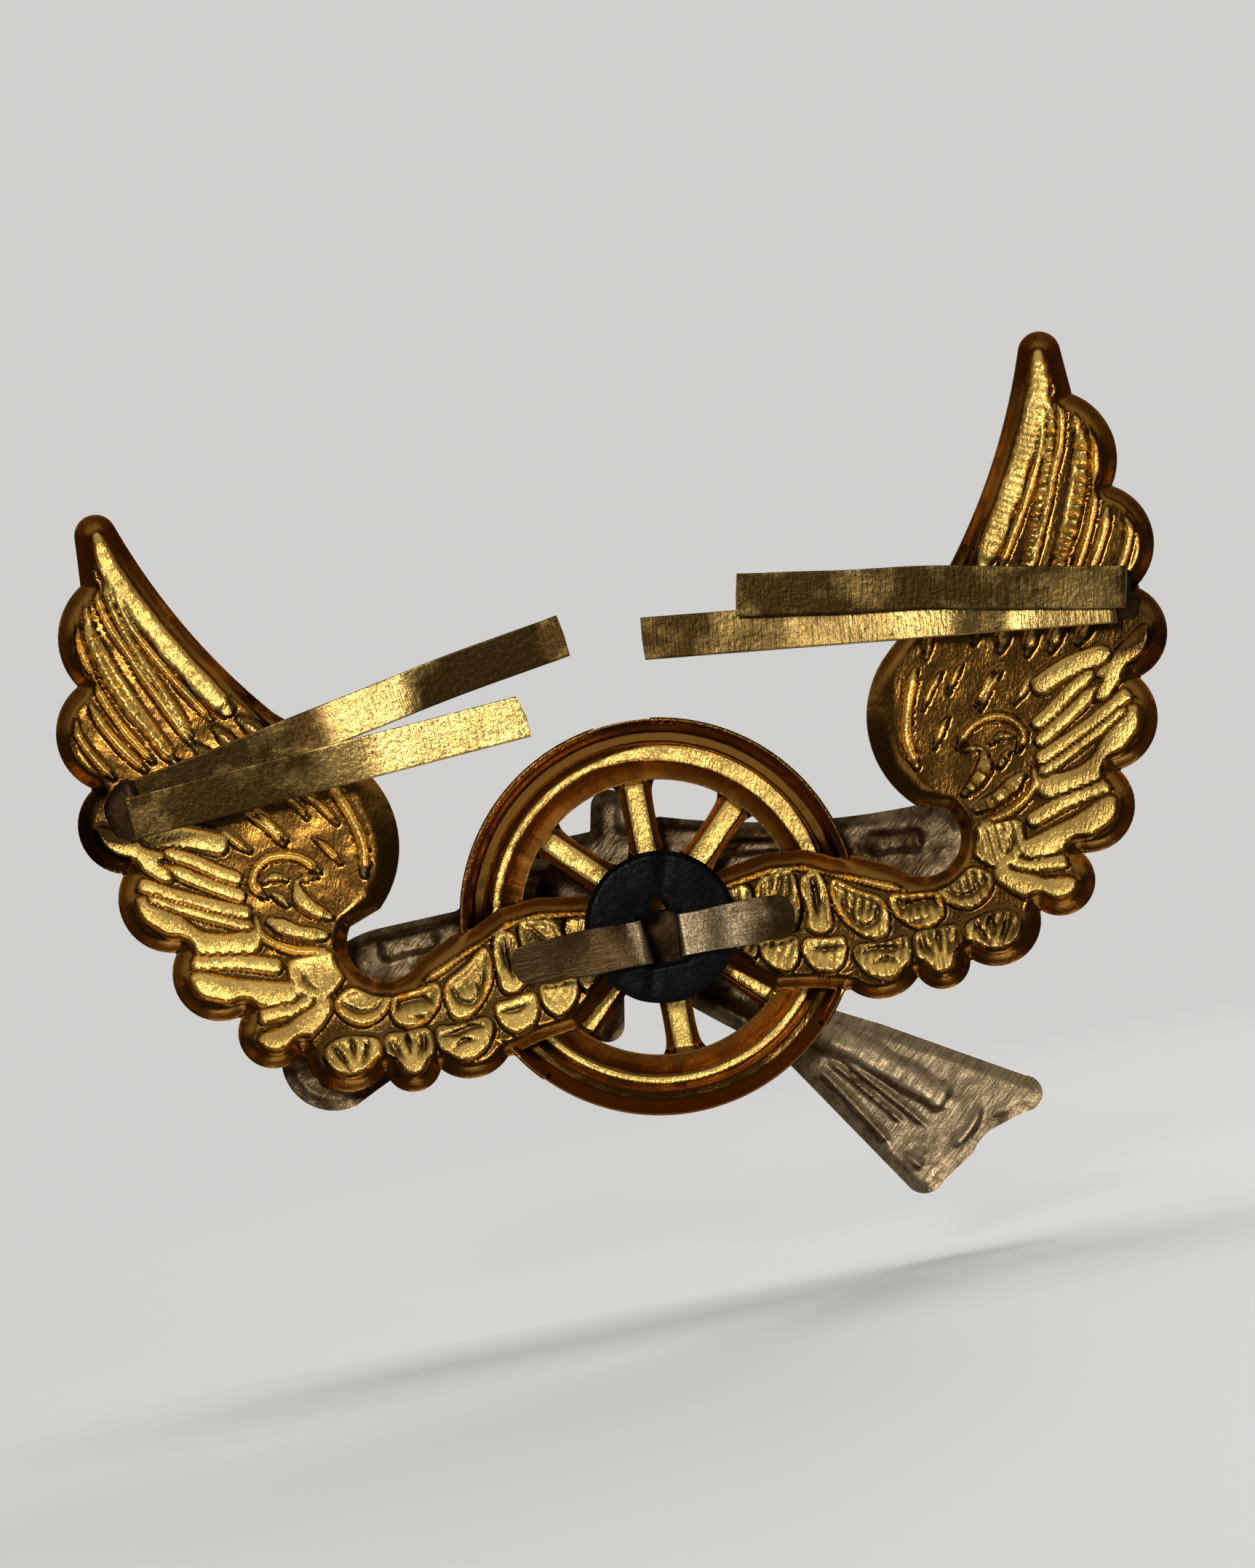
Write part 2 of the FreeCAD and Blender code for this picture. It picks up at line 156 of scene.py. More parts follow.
def polygon_distance(loop, x, z):
    """Signed distance to a closed outline, negative inside."""
    best = np.full(x.shape, 1e9)
    inside = np.zeros(x.shape, bool)
    for (ax, az), (bx, bz) in zip(loop, np.roll(loop, -1, axis=0)):
        ex, ez = bx - ax, bz - az
        share = ((x - ax) * ex + (z - az) * ez) / max(ex * ex + ez * ez, 1e-12)
        share = np.clip(share, 0, 1)
        best = np.minimum(best, (x - ax - share * ex) ** 2 + (z - az - share * ez) ** 2)
        if az != bz:
            crosses = ((az > z) != (bz > z)) & (x < ex * (z - az) / ez + ax)
            inside ^= crosses
    distance = np.sqrt(best)
    return np.where(inside, -distance, distance)


def path_distance(points, x, z):
    """Distance to an open path and how far along it the nearest place is, from 0 to 1."""
    points = np.array(points, float)
    lengths = np.linalg.norm(np.diff(points, axis=0), axis=1)
    total = lengths.sum()
    best = np.full(x.shape, 1e9)
    along = np.zeros(x.shape)
    run = 0.0
    for (ax, az), (bx, bz), length in zip(points[:-1], points[1:], lengths):
        ex, ez = bx - ax, bz - az
        share = np.clip(((x - ax) * ex + (z - az) * ez) / (length * length), 0, 1)
        distance = (x - ax - share * ex) ** 2 + (z - az - share * ez) ** 2
        nearer = distance < best
        best = np.where(nearer, distance, best)
        along = np.where(nearer, (run + share * length) / total, along)
        run += length
    return np.sqrt(best), along


def smooth_path(points, steps=6):
    """A Catmull-Rom curve through a few points."""
    points = [np.array(p, float) for p in points]
    points = [2 * points[0] - points[1]] + points + [2 * points[-1] - points[-2]]
    curve = []
    for a, b, c, d in zip(points, points[1:], points[2:], points[3:]):
        for step in range(steps):
            t = step / steps
            place = 2 * b + (c - a) * t + (2 * a - 5 * b + 4 * c - d) * t * t
            place = place + (3 * b - a - 3 * c + d) * t ** 3
            curve.append(place / 2)
    curve.append(points[-2])
    return curve


def ease(value):
    """Smooth step from 0 to 1."""
    value = np.clip(value, 0, 1)
    return value * value * (3 - 2 * value)


def dome(distance, reach):
    """1 on the middle line, falling round to 0 at the reach."""
    return np.sqrt(np.clip(1 - (distance / reach) ** 2, 0, 1))


def soft_max(a, b, blend):
    """The larger of two heights with a rounded valley of the given size between them."""
    overlap = np.clip(blend - np.abs(a - b), 0, blend) / blend
    return np.maximum(a, b) + overlap * overlap * blend / 4


def ripple(x, z, pitch, turn=0.0):
    """A slow, irregular wave made of a few sines, about -1 to 1."""
    u = (x * math.cos(turn) + z * math.sin(turn)) * 2 * math.pi / pitch
    v = (z * math.cos(turn) - x * math.sin(turn)) * 2 * math.pi / pitch
    wave = np.sin(u + 1.3 * np.sin(0.61 * v)) + np.sin(0.83 * v + 1.7 * np.sin(0.47 * u + 1.0))
    return 0.5 * wave


# ---------------------------------------------------------------- meshes


def flat_places(verts):
    """The x and the z of some vertices, as two arrays."""
    return np.array([vertex.co.x for vertex in verts]), np.array([vertex.co.z for vertex in verts])


def snap_to_edge(region, x, z, rounds=3):
    """Move points onto the zero line of a region."""
    step = 1e-3
    for _ in range(rounds):
        here = region(x, z)
        slope_x = (region(x + step, z) - region(x - step, z)) / (2 * step)
        slope_z = (region(x, z + step) - region(x, z - step)) / (2 * step)
        size = np.maximum(slope_x ** 2 + slope_z ** 2, 0.25)
        x = x - here * slope_x / size
        z = z - here * slope_z / size
    return x, z


def cut_grid(region, box, spacing):
    """A flat grid in the XZ plane, trimmed to a region with its edge vertices on the region's edge."""
    (x_low, z_low), (x_high, z_high) = box
    columns = max(2, round((x_high - x_low) / spacing))
    rows = max(2, round((z_high - z_low) / spacing))
    work = bmesh.new()
    bmesh.ops.create_grid(work, x_segments=columns, y_segments=rows, size=1.0)
    places = np.array([vertex.co[:2] for vertex in work.verts])
    x = x_low + (places[:, 0] + 1) / 2 * (x_high - x_low)
    z = z_low + (places[:, 1] + 1) / 2 * (z_high - z_low)
    distance = region(x, z)
    for vertex, px, pz in zip(work.verts, x, z):
        vertex.co = (px, 0, pz)
    outside = [face for face in work.faces if sum(distance[vertex.index] for vertex in face.verts) > 0]
    bmesh.ops.delete(work, geom=outside, context="FACES")
    loose = [vertex for vertex in work.verts if not vertex.link_faces]
    bmesh.ops.delete(work, geom=loose, context="VERTS")
    edge = [vertex for vertex in work.verts if vertex.is_boundary]
    for vertex, px, pz in zip(edge, *snap_to_edge(region, *flat_places(edge))):
        vertex.co = (px, 0, pz)
    return work


def struck_sheet(region, rise, box, spacing, back, thickness, mark="struck_and_painted_light"):
    """A sheet struck into relief: its back is at back - rise and its front one thickness further.

    rise(x, z, edge) gives the height and the share that is kept for the material under the mark's name.
    """
    work = cut_grid(region, box, spacing)
    x, z = flat_places(work.verts)
    marked = work.verts.layers.float.new(mark)
    for vertex, height, share in zip(work.verts, *rise(x, z, region(x, z))):
        vertex.co.y = back - height
        vertex[marked] = share
    pushed = bmesh.ops.extrude_face_region(work, geom=work.faces[:], use_keep_orig=True)
    front = [item for item in pushed["geom"] if isinstance(item, bmesh.types.BMVert)]
    bmesh.ops.translate(work, verts=front, vec=(0, -thickness, 0))
    bmesh.ops.recalc_face_normals(work, faces=work.faces)
    return work


def finish_mesh(work, name, body, material, smooth_angle=50.0):
    """Turn a bmesh in millimetres into a named piece in metres, which rides on a body if one is given."""
    bmesh.ops.scale(work, verts=work.verts, vec=(MM, MM, MM))
    mesh = bpy.data.meshes.new(name)
    work.to_mesh(mesh)
    work.free()
    mesh.materials.append(material)
    mesh.shade_smooth()
    mesh.set_sharp_from_angle(angle=math.radians(smooth_angle))
    piece = bpy.data.objects.new(name, mesh)
    bpy.context.scene.collection.objects.link(piece)
    if body:
        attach(piece, body)
    return piece


# ---------------------------------------------------------------- materials

FLOOR_FADE = (45.0, 170.0)


class Surface:
    """A small helper that adds and joins shader nodes of one material."""

    def __init__(self, name):
        self.material = bpy.data.materials.new(name)
        self.material.use_nodes = True
        self.tree = self.material.node_tree
        self.shader = self.tree.nodes["Principled BSDF"]
        coordinates = self.add("ShaderNodeTexCoord")
        scale = self.add("ShaderNodeMapping")
        scale.inputs["Scale"].default_value = (1 / MM, 1 / MM, 1 / MM)
        self.join(coordinates.outputs["Object"], scale.inputs["Vector"])
        self.millimetres = scale.outputs["Vector"]

    def add(self, kind, **settings):
        node = self.tree.nodes.new(kind)
        for key, value in settings.items():
            setattr(node, key, value)
        return node

    def join(self, source, target):
        self.tree.links.new(source, target)

    def stretched(self, turn=(0, 0, 0), scale=(1, 1, 1)):
        """Millimetre coordinates turned and stretched for a grain."""
        mapping = self.add("ShaderNodeMapping")
        mapping.inputs["Rotation"].default_value = turn
        self.join(self.millimetres, mapping.inputs["Vector"])
        stretch = self.add("ShaderNodeMapping")
        stretch.inputs["Scale"].default_value = scale
        self.join(mapping.outputs["Vector"], stretch.inputs["Vector"])
        return stretch.outputs["Vector"]

    def noise(self, vector, scale, detail=3.0, rough=0.5):
        node = self.add("ShaderNodeTexNoise")
        node.inputs["Scale"].default_value = scale
        node.inputs["Detail"].default_value = detail
        node.inputs["Roughness"].default_value = rough
        self.join(vector, node.inputs["Vector"])
        return node.outputs["Fac"]

    def ranged(self, source, from_low, from_high, to_low=0.0, to_high=1.0):
        node = self.add("ShaderNodeMapRange")
        node.inputs["From Min"].default_value = from_low
        node.inputs["From Max"].default_value = from_high
        node.inputs["To Min"].default_value = to_low
        node.inputs["To Max"].default_value = to_high
        self.join(source, node.inputs["Value"])
        return node.outputs["Result"]

    def math(self, operation, first, second):
        node = self.add("ShaderNodeMath", operation=operation)
        for socket, value in zip(node.inputs, (first, second)):
            if isinstance(value, (int, float)):
                socket.default_value = value
            else:
                self.join(value, socket)
        return node.outputs["Value"]

    def mix(self, share, first, second):
        node = self.add("ShaderNodeMix", data_type="RGBA")
        self.join(share, node.inputs["Factor"])
        for socket, value in ((node.inputs["A"], first), (node.inputs["B"], second)):
            if isinstance(value, bpy.types.NodeSocket):
                self.join(value, socket)
            else:
                socket.default_value = (*value[:3], 1.0)
        return node.outputs["Result"]

    def bump(self, heights):
        """Stack bumps: each is (height socket, distance in millimetres, strength)."""
        below = None
        for height, distance, strength in heights:
            node = self.add("ShaderNodeBump")
            node.inputs["Distance"].default_value = distance * MM
            node.inputs["Strength"].default_value = strength
            self.join(height, node.inputs["Height"])
            if below is not None:
                self.join(below, node.inputs["Normal"])
            below = node.outputs["Normal"]
        self.join(below, self.shader.inputs["Normal"])

    def attribute(self, name):
        return self.add("ShaderNodeAttribute", attribute_name=name).outputs["Fac"]

    def stained(self, shade, source, low, high, most, stain):
        """The shade turned towards a stain as the source rises from low to high, by the most share given."""
        return self.mix(self.math("MULTIPLY", self.ranged(source, low, high), most), shade, stain)

    def coat(self, shade, roughness, metallic=0.0):
        self.join(shade, self.shader.inputs["Base Color"])
        self.join(roughness, self.shader.inputs["Roughness"])
        self.shader.inputs["Metallic"].default_value = metallic


def gilt_surface(name, colours):
    """Worn gilding: satin and bright where it was struck; smooth, browned and deepened as painted shade between.
    The struck share also carries a painted highlight ring and painted shade, and the relief's walls and hollows
    get painted shade.
    """
    look = Surface(name)
    satin_and_painted_light = look.attribute("struck_and_painted_light")
    cloud = look.noise(look.millimetres, 0.35, 4.0, 0.6)
    speck = look.noise(look.millimetres, 6.0, 3.0, 0.6)
    grain = look.noise(look.stretched((0, 0.35, 0), (7.5, 4.0, 2.6)), 1.0, 3.0, 0.65)
    shade = look.mix(look.ranged(satin_and_painted_light, 0.3, 0.9), colours.gilt_brown_and_shaded, colours.gilt)
    shade = look.stained(shade, cloud, 0.45, 0.7, 0.45, colours.gilt_brown_and_shaded)
    # Painted shade: where the satin share is middling, on the walls and in the hollows of the relief and between
    # the feathers, the colour turns to the dark tarnish, unevenly with the cloud.
    slope = look.math("ABSOLUTE", look.ranged(satin_and_painted_light, 0.05, 0.85, -1.0, 1.0), 0.0)
    wall = look.math("SUBTRACT", 1.0, slope)
    painted_hollow_shade = look.math("MULTIPLY", wall, look.ranged(cloud, 0.2, 0.7, 0.65, 0.97))
    shade = look.mix(painted_hollow_shade, shade, colours.stains_and_shade)
    shade = look.stained(shade, speck, 0.62, 0.72, 0.4, colours.stains_and_shade)
    smooth = look.ranged(satin_and_painted_light, 0.2, 0.9, 0.2, 0.27)
    look.coat(shade, look.math("ADD", smooth, look.ranged(speck, 0.3, 0.7, -0.03, 0.06)), 1.0)
    tooth = look.math("MULTIPLY", grain, look.ranged(satin_and_painted_light, 0.2, 0.9, 0.25, 1.0))
    look.bump([(cloud, 0.2, 0.10), (tooth, 0.055, 1.0), (speck, 0.012, 0.5)])
    return look.material


def strip_surface(name, colours, turn):
    """Rolled strip with fine marks across its length, pits, and brown tarnish together with painted shade and
    painted highlight along its length.
    """
    look = Surface(name)
    browned = look.attribute("browned")
    marks = look.noise(look.stretched((0, turn, 0), (7.0, 1.0, 0.8)), 1.0, 4.0, 0.65)
    cloud = look.noise(look.millimetres, 0.5, 4.0, 0.6)
    pits = look.noise(look.millimetres, 4.0, 2.0, 0.5)
    fine = look.noise(look.millimetres, 12.0, 2.0, 0.5)
    browning_and_shade = look.math("ADD", browned, look.ranged(cloud, 0.3, 0.7, -0.25, 0.25))
    shade = look.mix(look.ranged(browning_and_shade, 0.1, 0.9), colours.strip, colours.strip_brown_and_shaded)
    shade = look.stained(shade, marks, 0.45, 0.8, 0.45, colours.stains_and_shade)
    shade = look.mix(look.ranged(pits, 0.68, 0.73), shade, colours.stains_and_shade)
    look.coat(shade, look.ranged(browning_and_shade, 0.1, 0.9, 0.24, 0.36), 1.0)
    look.bump([(cloud, 0.12, 0.2), (marks, 0.035, 0.8), (pits, 0.05, 0.4), (fine, 0.01, 0.6)])
    return look.material


def nickel_surface(name, colours, turn):
    """Dull nickel silver: brushed, scratched and browned in patches."""
    look = Surface(name)
    browned = look.attribute("browned")
    brushed = look.noise(look.stretched((0, turn, 0), (0.9, 1.0, 9.0)), 1.0, 4.0, 0.65)
    cloud = look.noise(look.millimetres, 0.5, 5.0, 0.7)
    fine = look.noise(look.millimetres, 7.0, 3.0, 0.6)
    browning_and_shade = look.math("ADD", browned, look.ranged(cloud, 0.3, 0.7, -0.1, 0.5))
    shade = look.mix(browning_and_shade, colours.nickel, colours.nickel_brown)
    shade = look.stained(shade, brushed, 0.45, 0.7, 0.6, colours.stains_and_shade)
    shade = look.stained(shade, fine, 0.58, 0.7, 0.6, colours.stains_and_shade)
    look.coat(shade, look.ranged(brushed, 0.3, 0.7, 0.25, 0.38), 1.0)
    look.bump([(cloud, 0.12, 0.2), (brushed, 0.035, 0.8), (fine, 0.02, 0.6)])
    return look.material


def fibre_surface(name, colours):
    """Black vulcanised fibre: a low gloss with flecks."""
    look = Surface(name)
    cloud = look.noise(look.millimetres, 0.6, 4.0, 0.6)
    flecks = look.noise(look.millimetres, 6.0, 3.0, 0.6)
    shade = look.mix(look.ranged(cloud, 0.35, 0.7), colours.fibre, colours.fibre_worn)
    look.coat(shade, look.ranged(flecks, 0.3, 0.7, 0.25, 0.45))
    look.shader.inputs["Specular IOR Level"].default_value = 0.07
    look.bump([(cloud, 0.15, 0.5), (flecks, 0.03, 0.4)])
    return look.material


def solder_surface(name, colours):
    """Dark brazing with a burnt, uneven skin."""
    look = Surface(name)
    cloud = look.noise(look.millimetres, 1.2, 4.0, 0.6)
    shade = look.mix(look.ranged(cloud, 0.4, 0.62), colours.solder, colours.stains_and_shade)
    look.coat(shade, look.ranged(cloud, 0.3, 0.7, 0.4, 0.65), 0.8)
    look.bump([(cloud, 0.15, 0.7)])
    return look.material


def floor_surface(name, colours):
    """A pale floor that fades into the room between two distances from the badge."""
    look = Surface(name)
    look.shader.inputs["Base Color"].default_value = (*colours.floor, 1.0)
    look.shader.inputs["Roughness"].default_value = 0.8
    distance = look.add("ShaderNodeVectorMath", operation="LENGTH")
    look.join(look.millimetres, distance.inputs[0])
    clear = look.add("ShaderNodeBsdfTransparent")
    both = look.add("ShaderNodeMixShader")
    look.join(look.ranged(distance.outputs["Value"], *FLOOR_FADE), both.inputs["Fac"])
    look.join(look.shader.outputs["BSDF"], both.inputs[1])
    look.join(clear.outputs["BSDF"], both.inputs[2])
    look.join(both.outputs["Shader"], look.tree.nodes["Material Output"].inputs["Surface"])
    return look.material


# ---------------------------------------------------------------- settings


def length(name, description, default):
    """A length kept in plain millimetres."""
    return FloatProperty(name=name, description=description, default=default, min=0.0)


def colour(name, description, default):
    return FloatVectorProperty(
        name=name, description=description, default=default, subtype="COLOR", size=3, min=0.0, max=1.0
    )


class BadgeSizes(bpy.types.PropertyGroup):
    sheet: length("Sheet", "Thickness of the struck gilt sheet in mm", 0.32)
    spacing: length("Grid", "Distance between the relief's mesh points in mm", 0.095)
    feather_rise: length("Feathers", "How far the feathers are struck forward in mm", 0.36)
    panel_rise: length("Panel", "How far a wing is domed inside its border in mm", 0.6)
    border: length("Border", "Width of the smooth border round a wing in mm", 0.75)
    camera_lens: FloatProperty(
        name="Lens", description="Focal length in mm", default=135.0, subtype="DISTANCE_CAMERA"
    )


class BadgeColours(bpy.types.PropertyGroup):
    gilt: colour("Gilt", "Bright gilding", (0.93, 0.60, 0.155))
    # Deep gilt: worn brown gilding, made deeper as painted shade on the smooth ground and the rim's flanks.
    gilt_brown_and_shaded: colour("Deep gilt", "Gilding where it is worn and brown", (0.27, 0.125, 0.023))
    strip: colour("Strip", "Brass of the tabs", (0.66, 0.43, 0.13))
    # The dull strip colour is browned brass that also paints the tabs' shade.
    strip_brown_and_shaded: colour("Dull strip", "Brass where the tabs have browned", (0.055, 0.030, 0.008))
    # Tarnish: dark stains on the metal, and the painted shade in the gilt's walls and hollows.
    stains_and_shade: colour("Tarnish", "Dark stains on the metal", (0.045, 0.02, 0.005))
    nickel: colour("Nickel silver", "Clean nickel silver", (0.52, 0.385, 0.215))
    nickel_brown: colour("Browned nickel", "Tarnished nickel silver", (0.05, 0.030, 0.012))
    fibre: colour("Fibre", "Black washer", (0.002, 0.0013, 0.0008))
    fibre_worn: colour("Worn fibre", "Washer where it is rubbed", (0.006, 0.0042, 0.0026))
    solder: colour("Brazing", "Burnt brazing at the strips' feet", (0.045, 0.02, 0.006))
    floor: colour("Floor", "Pale floor", (0.72, 0.71, 0.69))


def sizes():
    return bpy.context.scene.badge_sizes


def colours():
    return bpy.context.scene.badge_colours


def shared(name, maker, *details):
    """One material by name, made the first time it is asked for."""
    return bpy.data.materials.get(name) or maker(name, colours(), *details)


# ---------------------------------------------------------------- the gilt sheet

WHEEL_OUTER = 9.1
WHEEL_INNER = 6.3
# The rim's rounded front: the radius of its crown, its depth, and how full its curve is.
CROWN_RADIUS = 7.7
RIM_DEPTH = 2.15
CROWN_FULLNESS = 0.85
CROWN_STEPS = 18
RIM_SEGMENTS = 288
# A painted highlight: a bright ring of satin along the floor of the rim's channel, which is wider where the floor
# is worn flat.
HIGHLIGHT_RING_RADIUS = 7.55
HIGHLIGHT_RING_HALF_WIDTH = 0.24
HIGHLIGHT_RING_WIDENING = 0.26
CHANNEL_FLOOR = 1.72
FLOOR_WEAR = 0.2
HUB_RADIUS = 2.9
HUB_RISE = 1.35
HUB_SATIN = 0.45
SPOKE_HALF = 0.72
SPOKE_COUNT = 8
SPOKE_RISE = 0.85
SPOKE_FLARE = 0.35
SPIDER_BACK = -0.15
SPIDER_GRID = 0.085
SPIDER_OVERLAP = 0.14
SLOT_HALF_WIDTH = 1.05
SLOT_HALF_HEIGHT = 1.25
# How far the wheel is sunk where a wing's root crosses it, and the width of the slope down to there.
CLAMP_DEPTH = 1.45
ROOT_FADE = 0.3
WING_BACK = -0.2
WING_SECTION = -0.5
WING_CORNER = (1.3, -6.2)

# Where a wing runs over the wheel to the hub, from the rim's top round to its bottom.
ROOT_OUTLINE = [
    (11.0, -0.15), (9.6, 0.75), (8.4, 1.15), (7.2, 1.75), (5.4, 1.95), (3.9, 1.7), (1.4, 1.3),
    (1.4, -2.0), (2.6, -2.7), (4.6, -4.3), (6.4, -4.55), (7.9, -4.95), (9.4, -4.6), (11.0, -3.9),
]

# Ridges of a wing: half width, rise, share of beading, then the points that the ridge passes through.
PRIMARIES = [
    (0.62, 1.0, 0.03, (22.1, 22.3), (21.75, 20.5), (20.8, 18.5), (19.8, 16.5), (18.7, 14.7), (17.7, 13.1)),
    (0.22, 0.9, 0.0, (21.7, 20.4), (21.7, 19.3), (21.4, 18.0), (20.9, 16.9), (20.1, 15.4), (19.3, 14.1),
     (18.5, 12.8)),
    (0.24, 0.9, 0.16, (22.1, 19.9), (22.0, 18.7), (21.6, 17.4), (21.1, 16.1), (20.5, 14.7),
     (19.9, 13.2), (19.5, 12.3)),
    (0.22, 0.9, 0.02, (22.6, 21.9), (22.6, 19.6), (22.3, 18.0), (21.7, 16.6), (21.1, 15.1),
     (20.4, 13.6), (19.6, 11.9)),
    (0.20, 0.7, 0.0, (23.2, 19.3), (23.1, 18.0), (22.5, 16.1), (21.9, 14.6), (21.3, 13.2), (20.6, 11.6)),
    (0.32, 1.0, 0.16, (23.3, 18.2), (23.1, 16.9), (22.7, 15.5), (22.1, 14.1), (21.3, 12.7), (20.5, 11.2)),
    (0.22, 0.9, 0.0, (23.8, 19.1), (23.8, 17.6), (23.6, 16.2), (23.2, 14.7), (22.5, 13.1), (21.5, 11.4)),
    (0.16, 0.7, 0.0, (24.1, 19.2), (24.3, 18.2), (24.2, 16.5), (23.9, 15.2)),
    (0.26, 0.9, 0.0, (23.8, 14.5), (23.4, 13.4), (22.7, 12.2), (21.9, 11.1)),
    (0.24, 0.8, 0.0, (24.7, 14.3), (24.6, 13.2), (24.1, 12.1), (23.4, 11.0)),
]
# Straight feathers along the wing's outer edge: half width, rise, then the points.
SECONDARIES = [
    (0.40, 0.9, (24.4, 8.4), (23.4, 7.7), (22.4, 6.9), (21.9, 6.4)),
    (0.34, 0.9, (22.3, 7.9), (21.2, 7.8), (20.2, 7.5), (19.3, 7.1)),
    (0.22, 0.9, (21.5, 7.1), (20.6, 6.6), (19.6, 5.9), (18.8, 5.4)),
    (0.22, 0.9, (22.0, 6.7), (20.9, 5.9), (19.8, 5.2), (18.8, 4.6)),
    (0.24, 0.9, (23.0, 5.9), (21.4, 5.0), (19.9, 4.3), (18.7, 3.8)),
    (0.20, 0.9, (22.7, 5.2), (21.2, 4.4), (19.8, 3.7), (18.7, 3.2)),
    (0.38, 1.1, (23.2, 4.9), (22.0, 3.8), (21.1, 2.9), (20.0, 2.5), (18.7, 2.45)),
    (0.26, 0.9, (21.2, 1.95), (19.9, 1.75), (18.8, 1.45), (17.8, 1.1)),
    (0.42, 1.1, (21.3, 0.95), (20.1, 0.45), (18.8, 0.05), (17.5, -0.3)),
    (0.24, 0.9, (18.7, -1.05), (17.6, -1.0), (16.5, -0.8)),
    (0.42, 1.1, (18.7, -2.35), (17.5, -2.15), (16.6, -1.6), (16.1, -1.1)),
]
# Ridges of the lobe, in the same form as the primaries.
CURLS = [
    (0.24, 1.0, 0.0, (17.6, 4.3), (18.05, 5.0), (17.75, 5.7), (17.0, 6.1), (16.0, 5.95), (15.4, 5.55),
     (14.95, 5.0)),
    (0.40, 1.0, 0.12, (16.1, 4.5), (16.0, 3.9), (15.5, 3.3), (14.9, 2.9)),
    (0.22, 0.9, 0.0, (16.1, 4.75), (15.6, 4.85), (15.1, 4.8)),
    (0.26, 0.8, 0.2, (17.5, 5.05), (17.0, 5.15), (16.5, 4.95)),
    (0.28, 0.8, 0.2, (17.2, 4.4), (16.9, 4.1), (16.7, 3.8)),
    (0.24, 1.1, 0.0, (18.2, 3.5), (18.15, 2.7), (17.4, 2.0), (16.4, 1.55), (15.4, 1.45)),
    (0.42, 0.9, 0.15, (17.6, 3.2), (16.9, 2.7), (16.1, 2.3), (15.3, 2.1)),
    (0.18, 0.9, 0.0, (17.6, 8.1), (16.9, 7.4), (16.3, 6.5)),
    (0.16, 0.9, 0.0, (17.2, 8.2), (16.7, 7.5), (16.1, 6.7)),
    (0.20, 0.9, 0.0, (14.8, 6.5), (14.4, 6.0), (13.9, 5.2)),
    (0.18, 0.8, 0.0, (14.9, 8.6), (14.2, 7.8), (13.7, 7.0)),
    (0.18, 0.8, 0.0, (15.9, 8.8), (15.4, 8.2), (15.0, 7.5)),
    (0.30, 1.0, 0.0, (13.7, 8.9), (13.1, 7.4), (12.75, 5.9), (12.95, 4.5)),
]
# Short strokes that fill the shoulder between the long feathers and the lobe.
SHOULDER = [
    (0.34, 0.8, 0.0, (17.2, 12.6), (16.3, 11.6), (15.6, 10.4)),
    (0.30, 0.8, 0.0, (18.4, 12.4), (17.4, 11.0), (16.6, 9.6)),
    (0.32, 0.8, 0.0, (19.4, 11.7), (18.4, 10.3), (17.7, 9.0)),
    (0.30, 0.8, 0.0, (20.4, 11.1), (19.6, 9.9), (18.9, 8.6)),
    (0.32, 0.8, 0.0, (21.5, 10.7), (20.7, 9.6), (20.0, 8.6)),
    (0.30, 0.8, 0.0, (22.9, 10.6), (22.1, 9.5), (21.3, 8.7)),
    (0.22, 0.7, 0.0, (15.3, 11.2), (14.7, 10.2), (14.3, 9.3)),
    (0.20, 0.7, 0.0, (18.9, 7.6), (18.3, 6.9), (17.9, 6.5)),
]
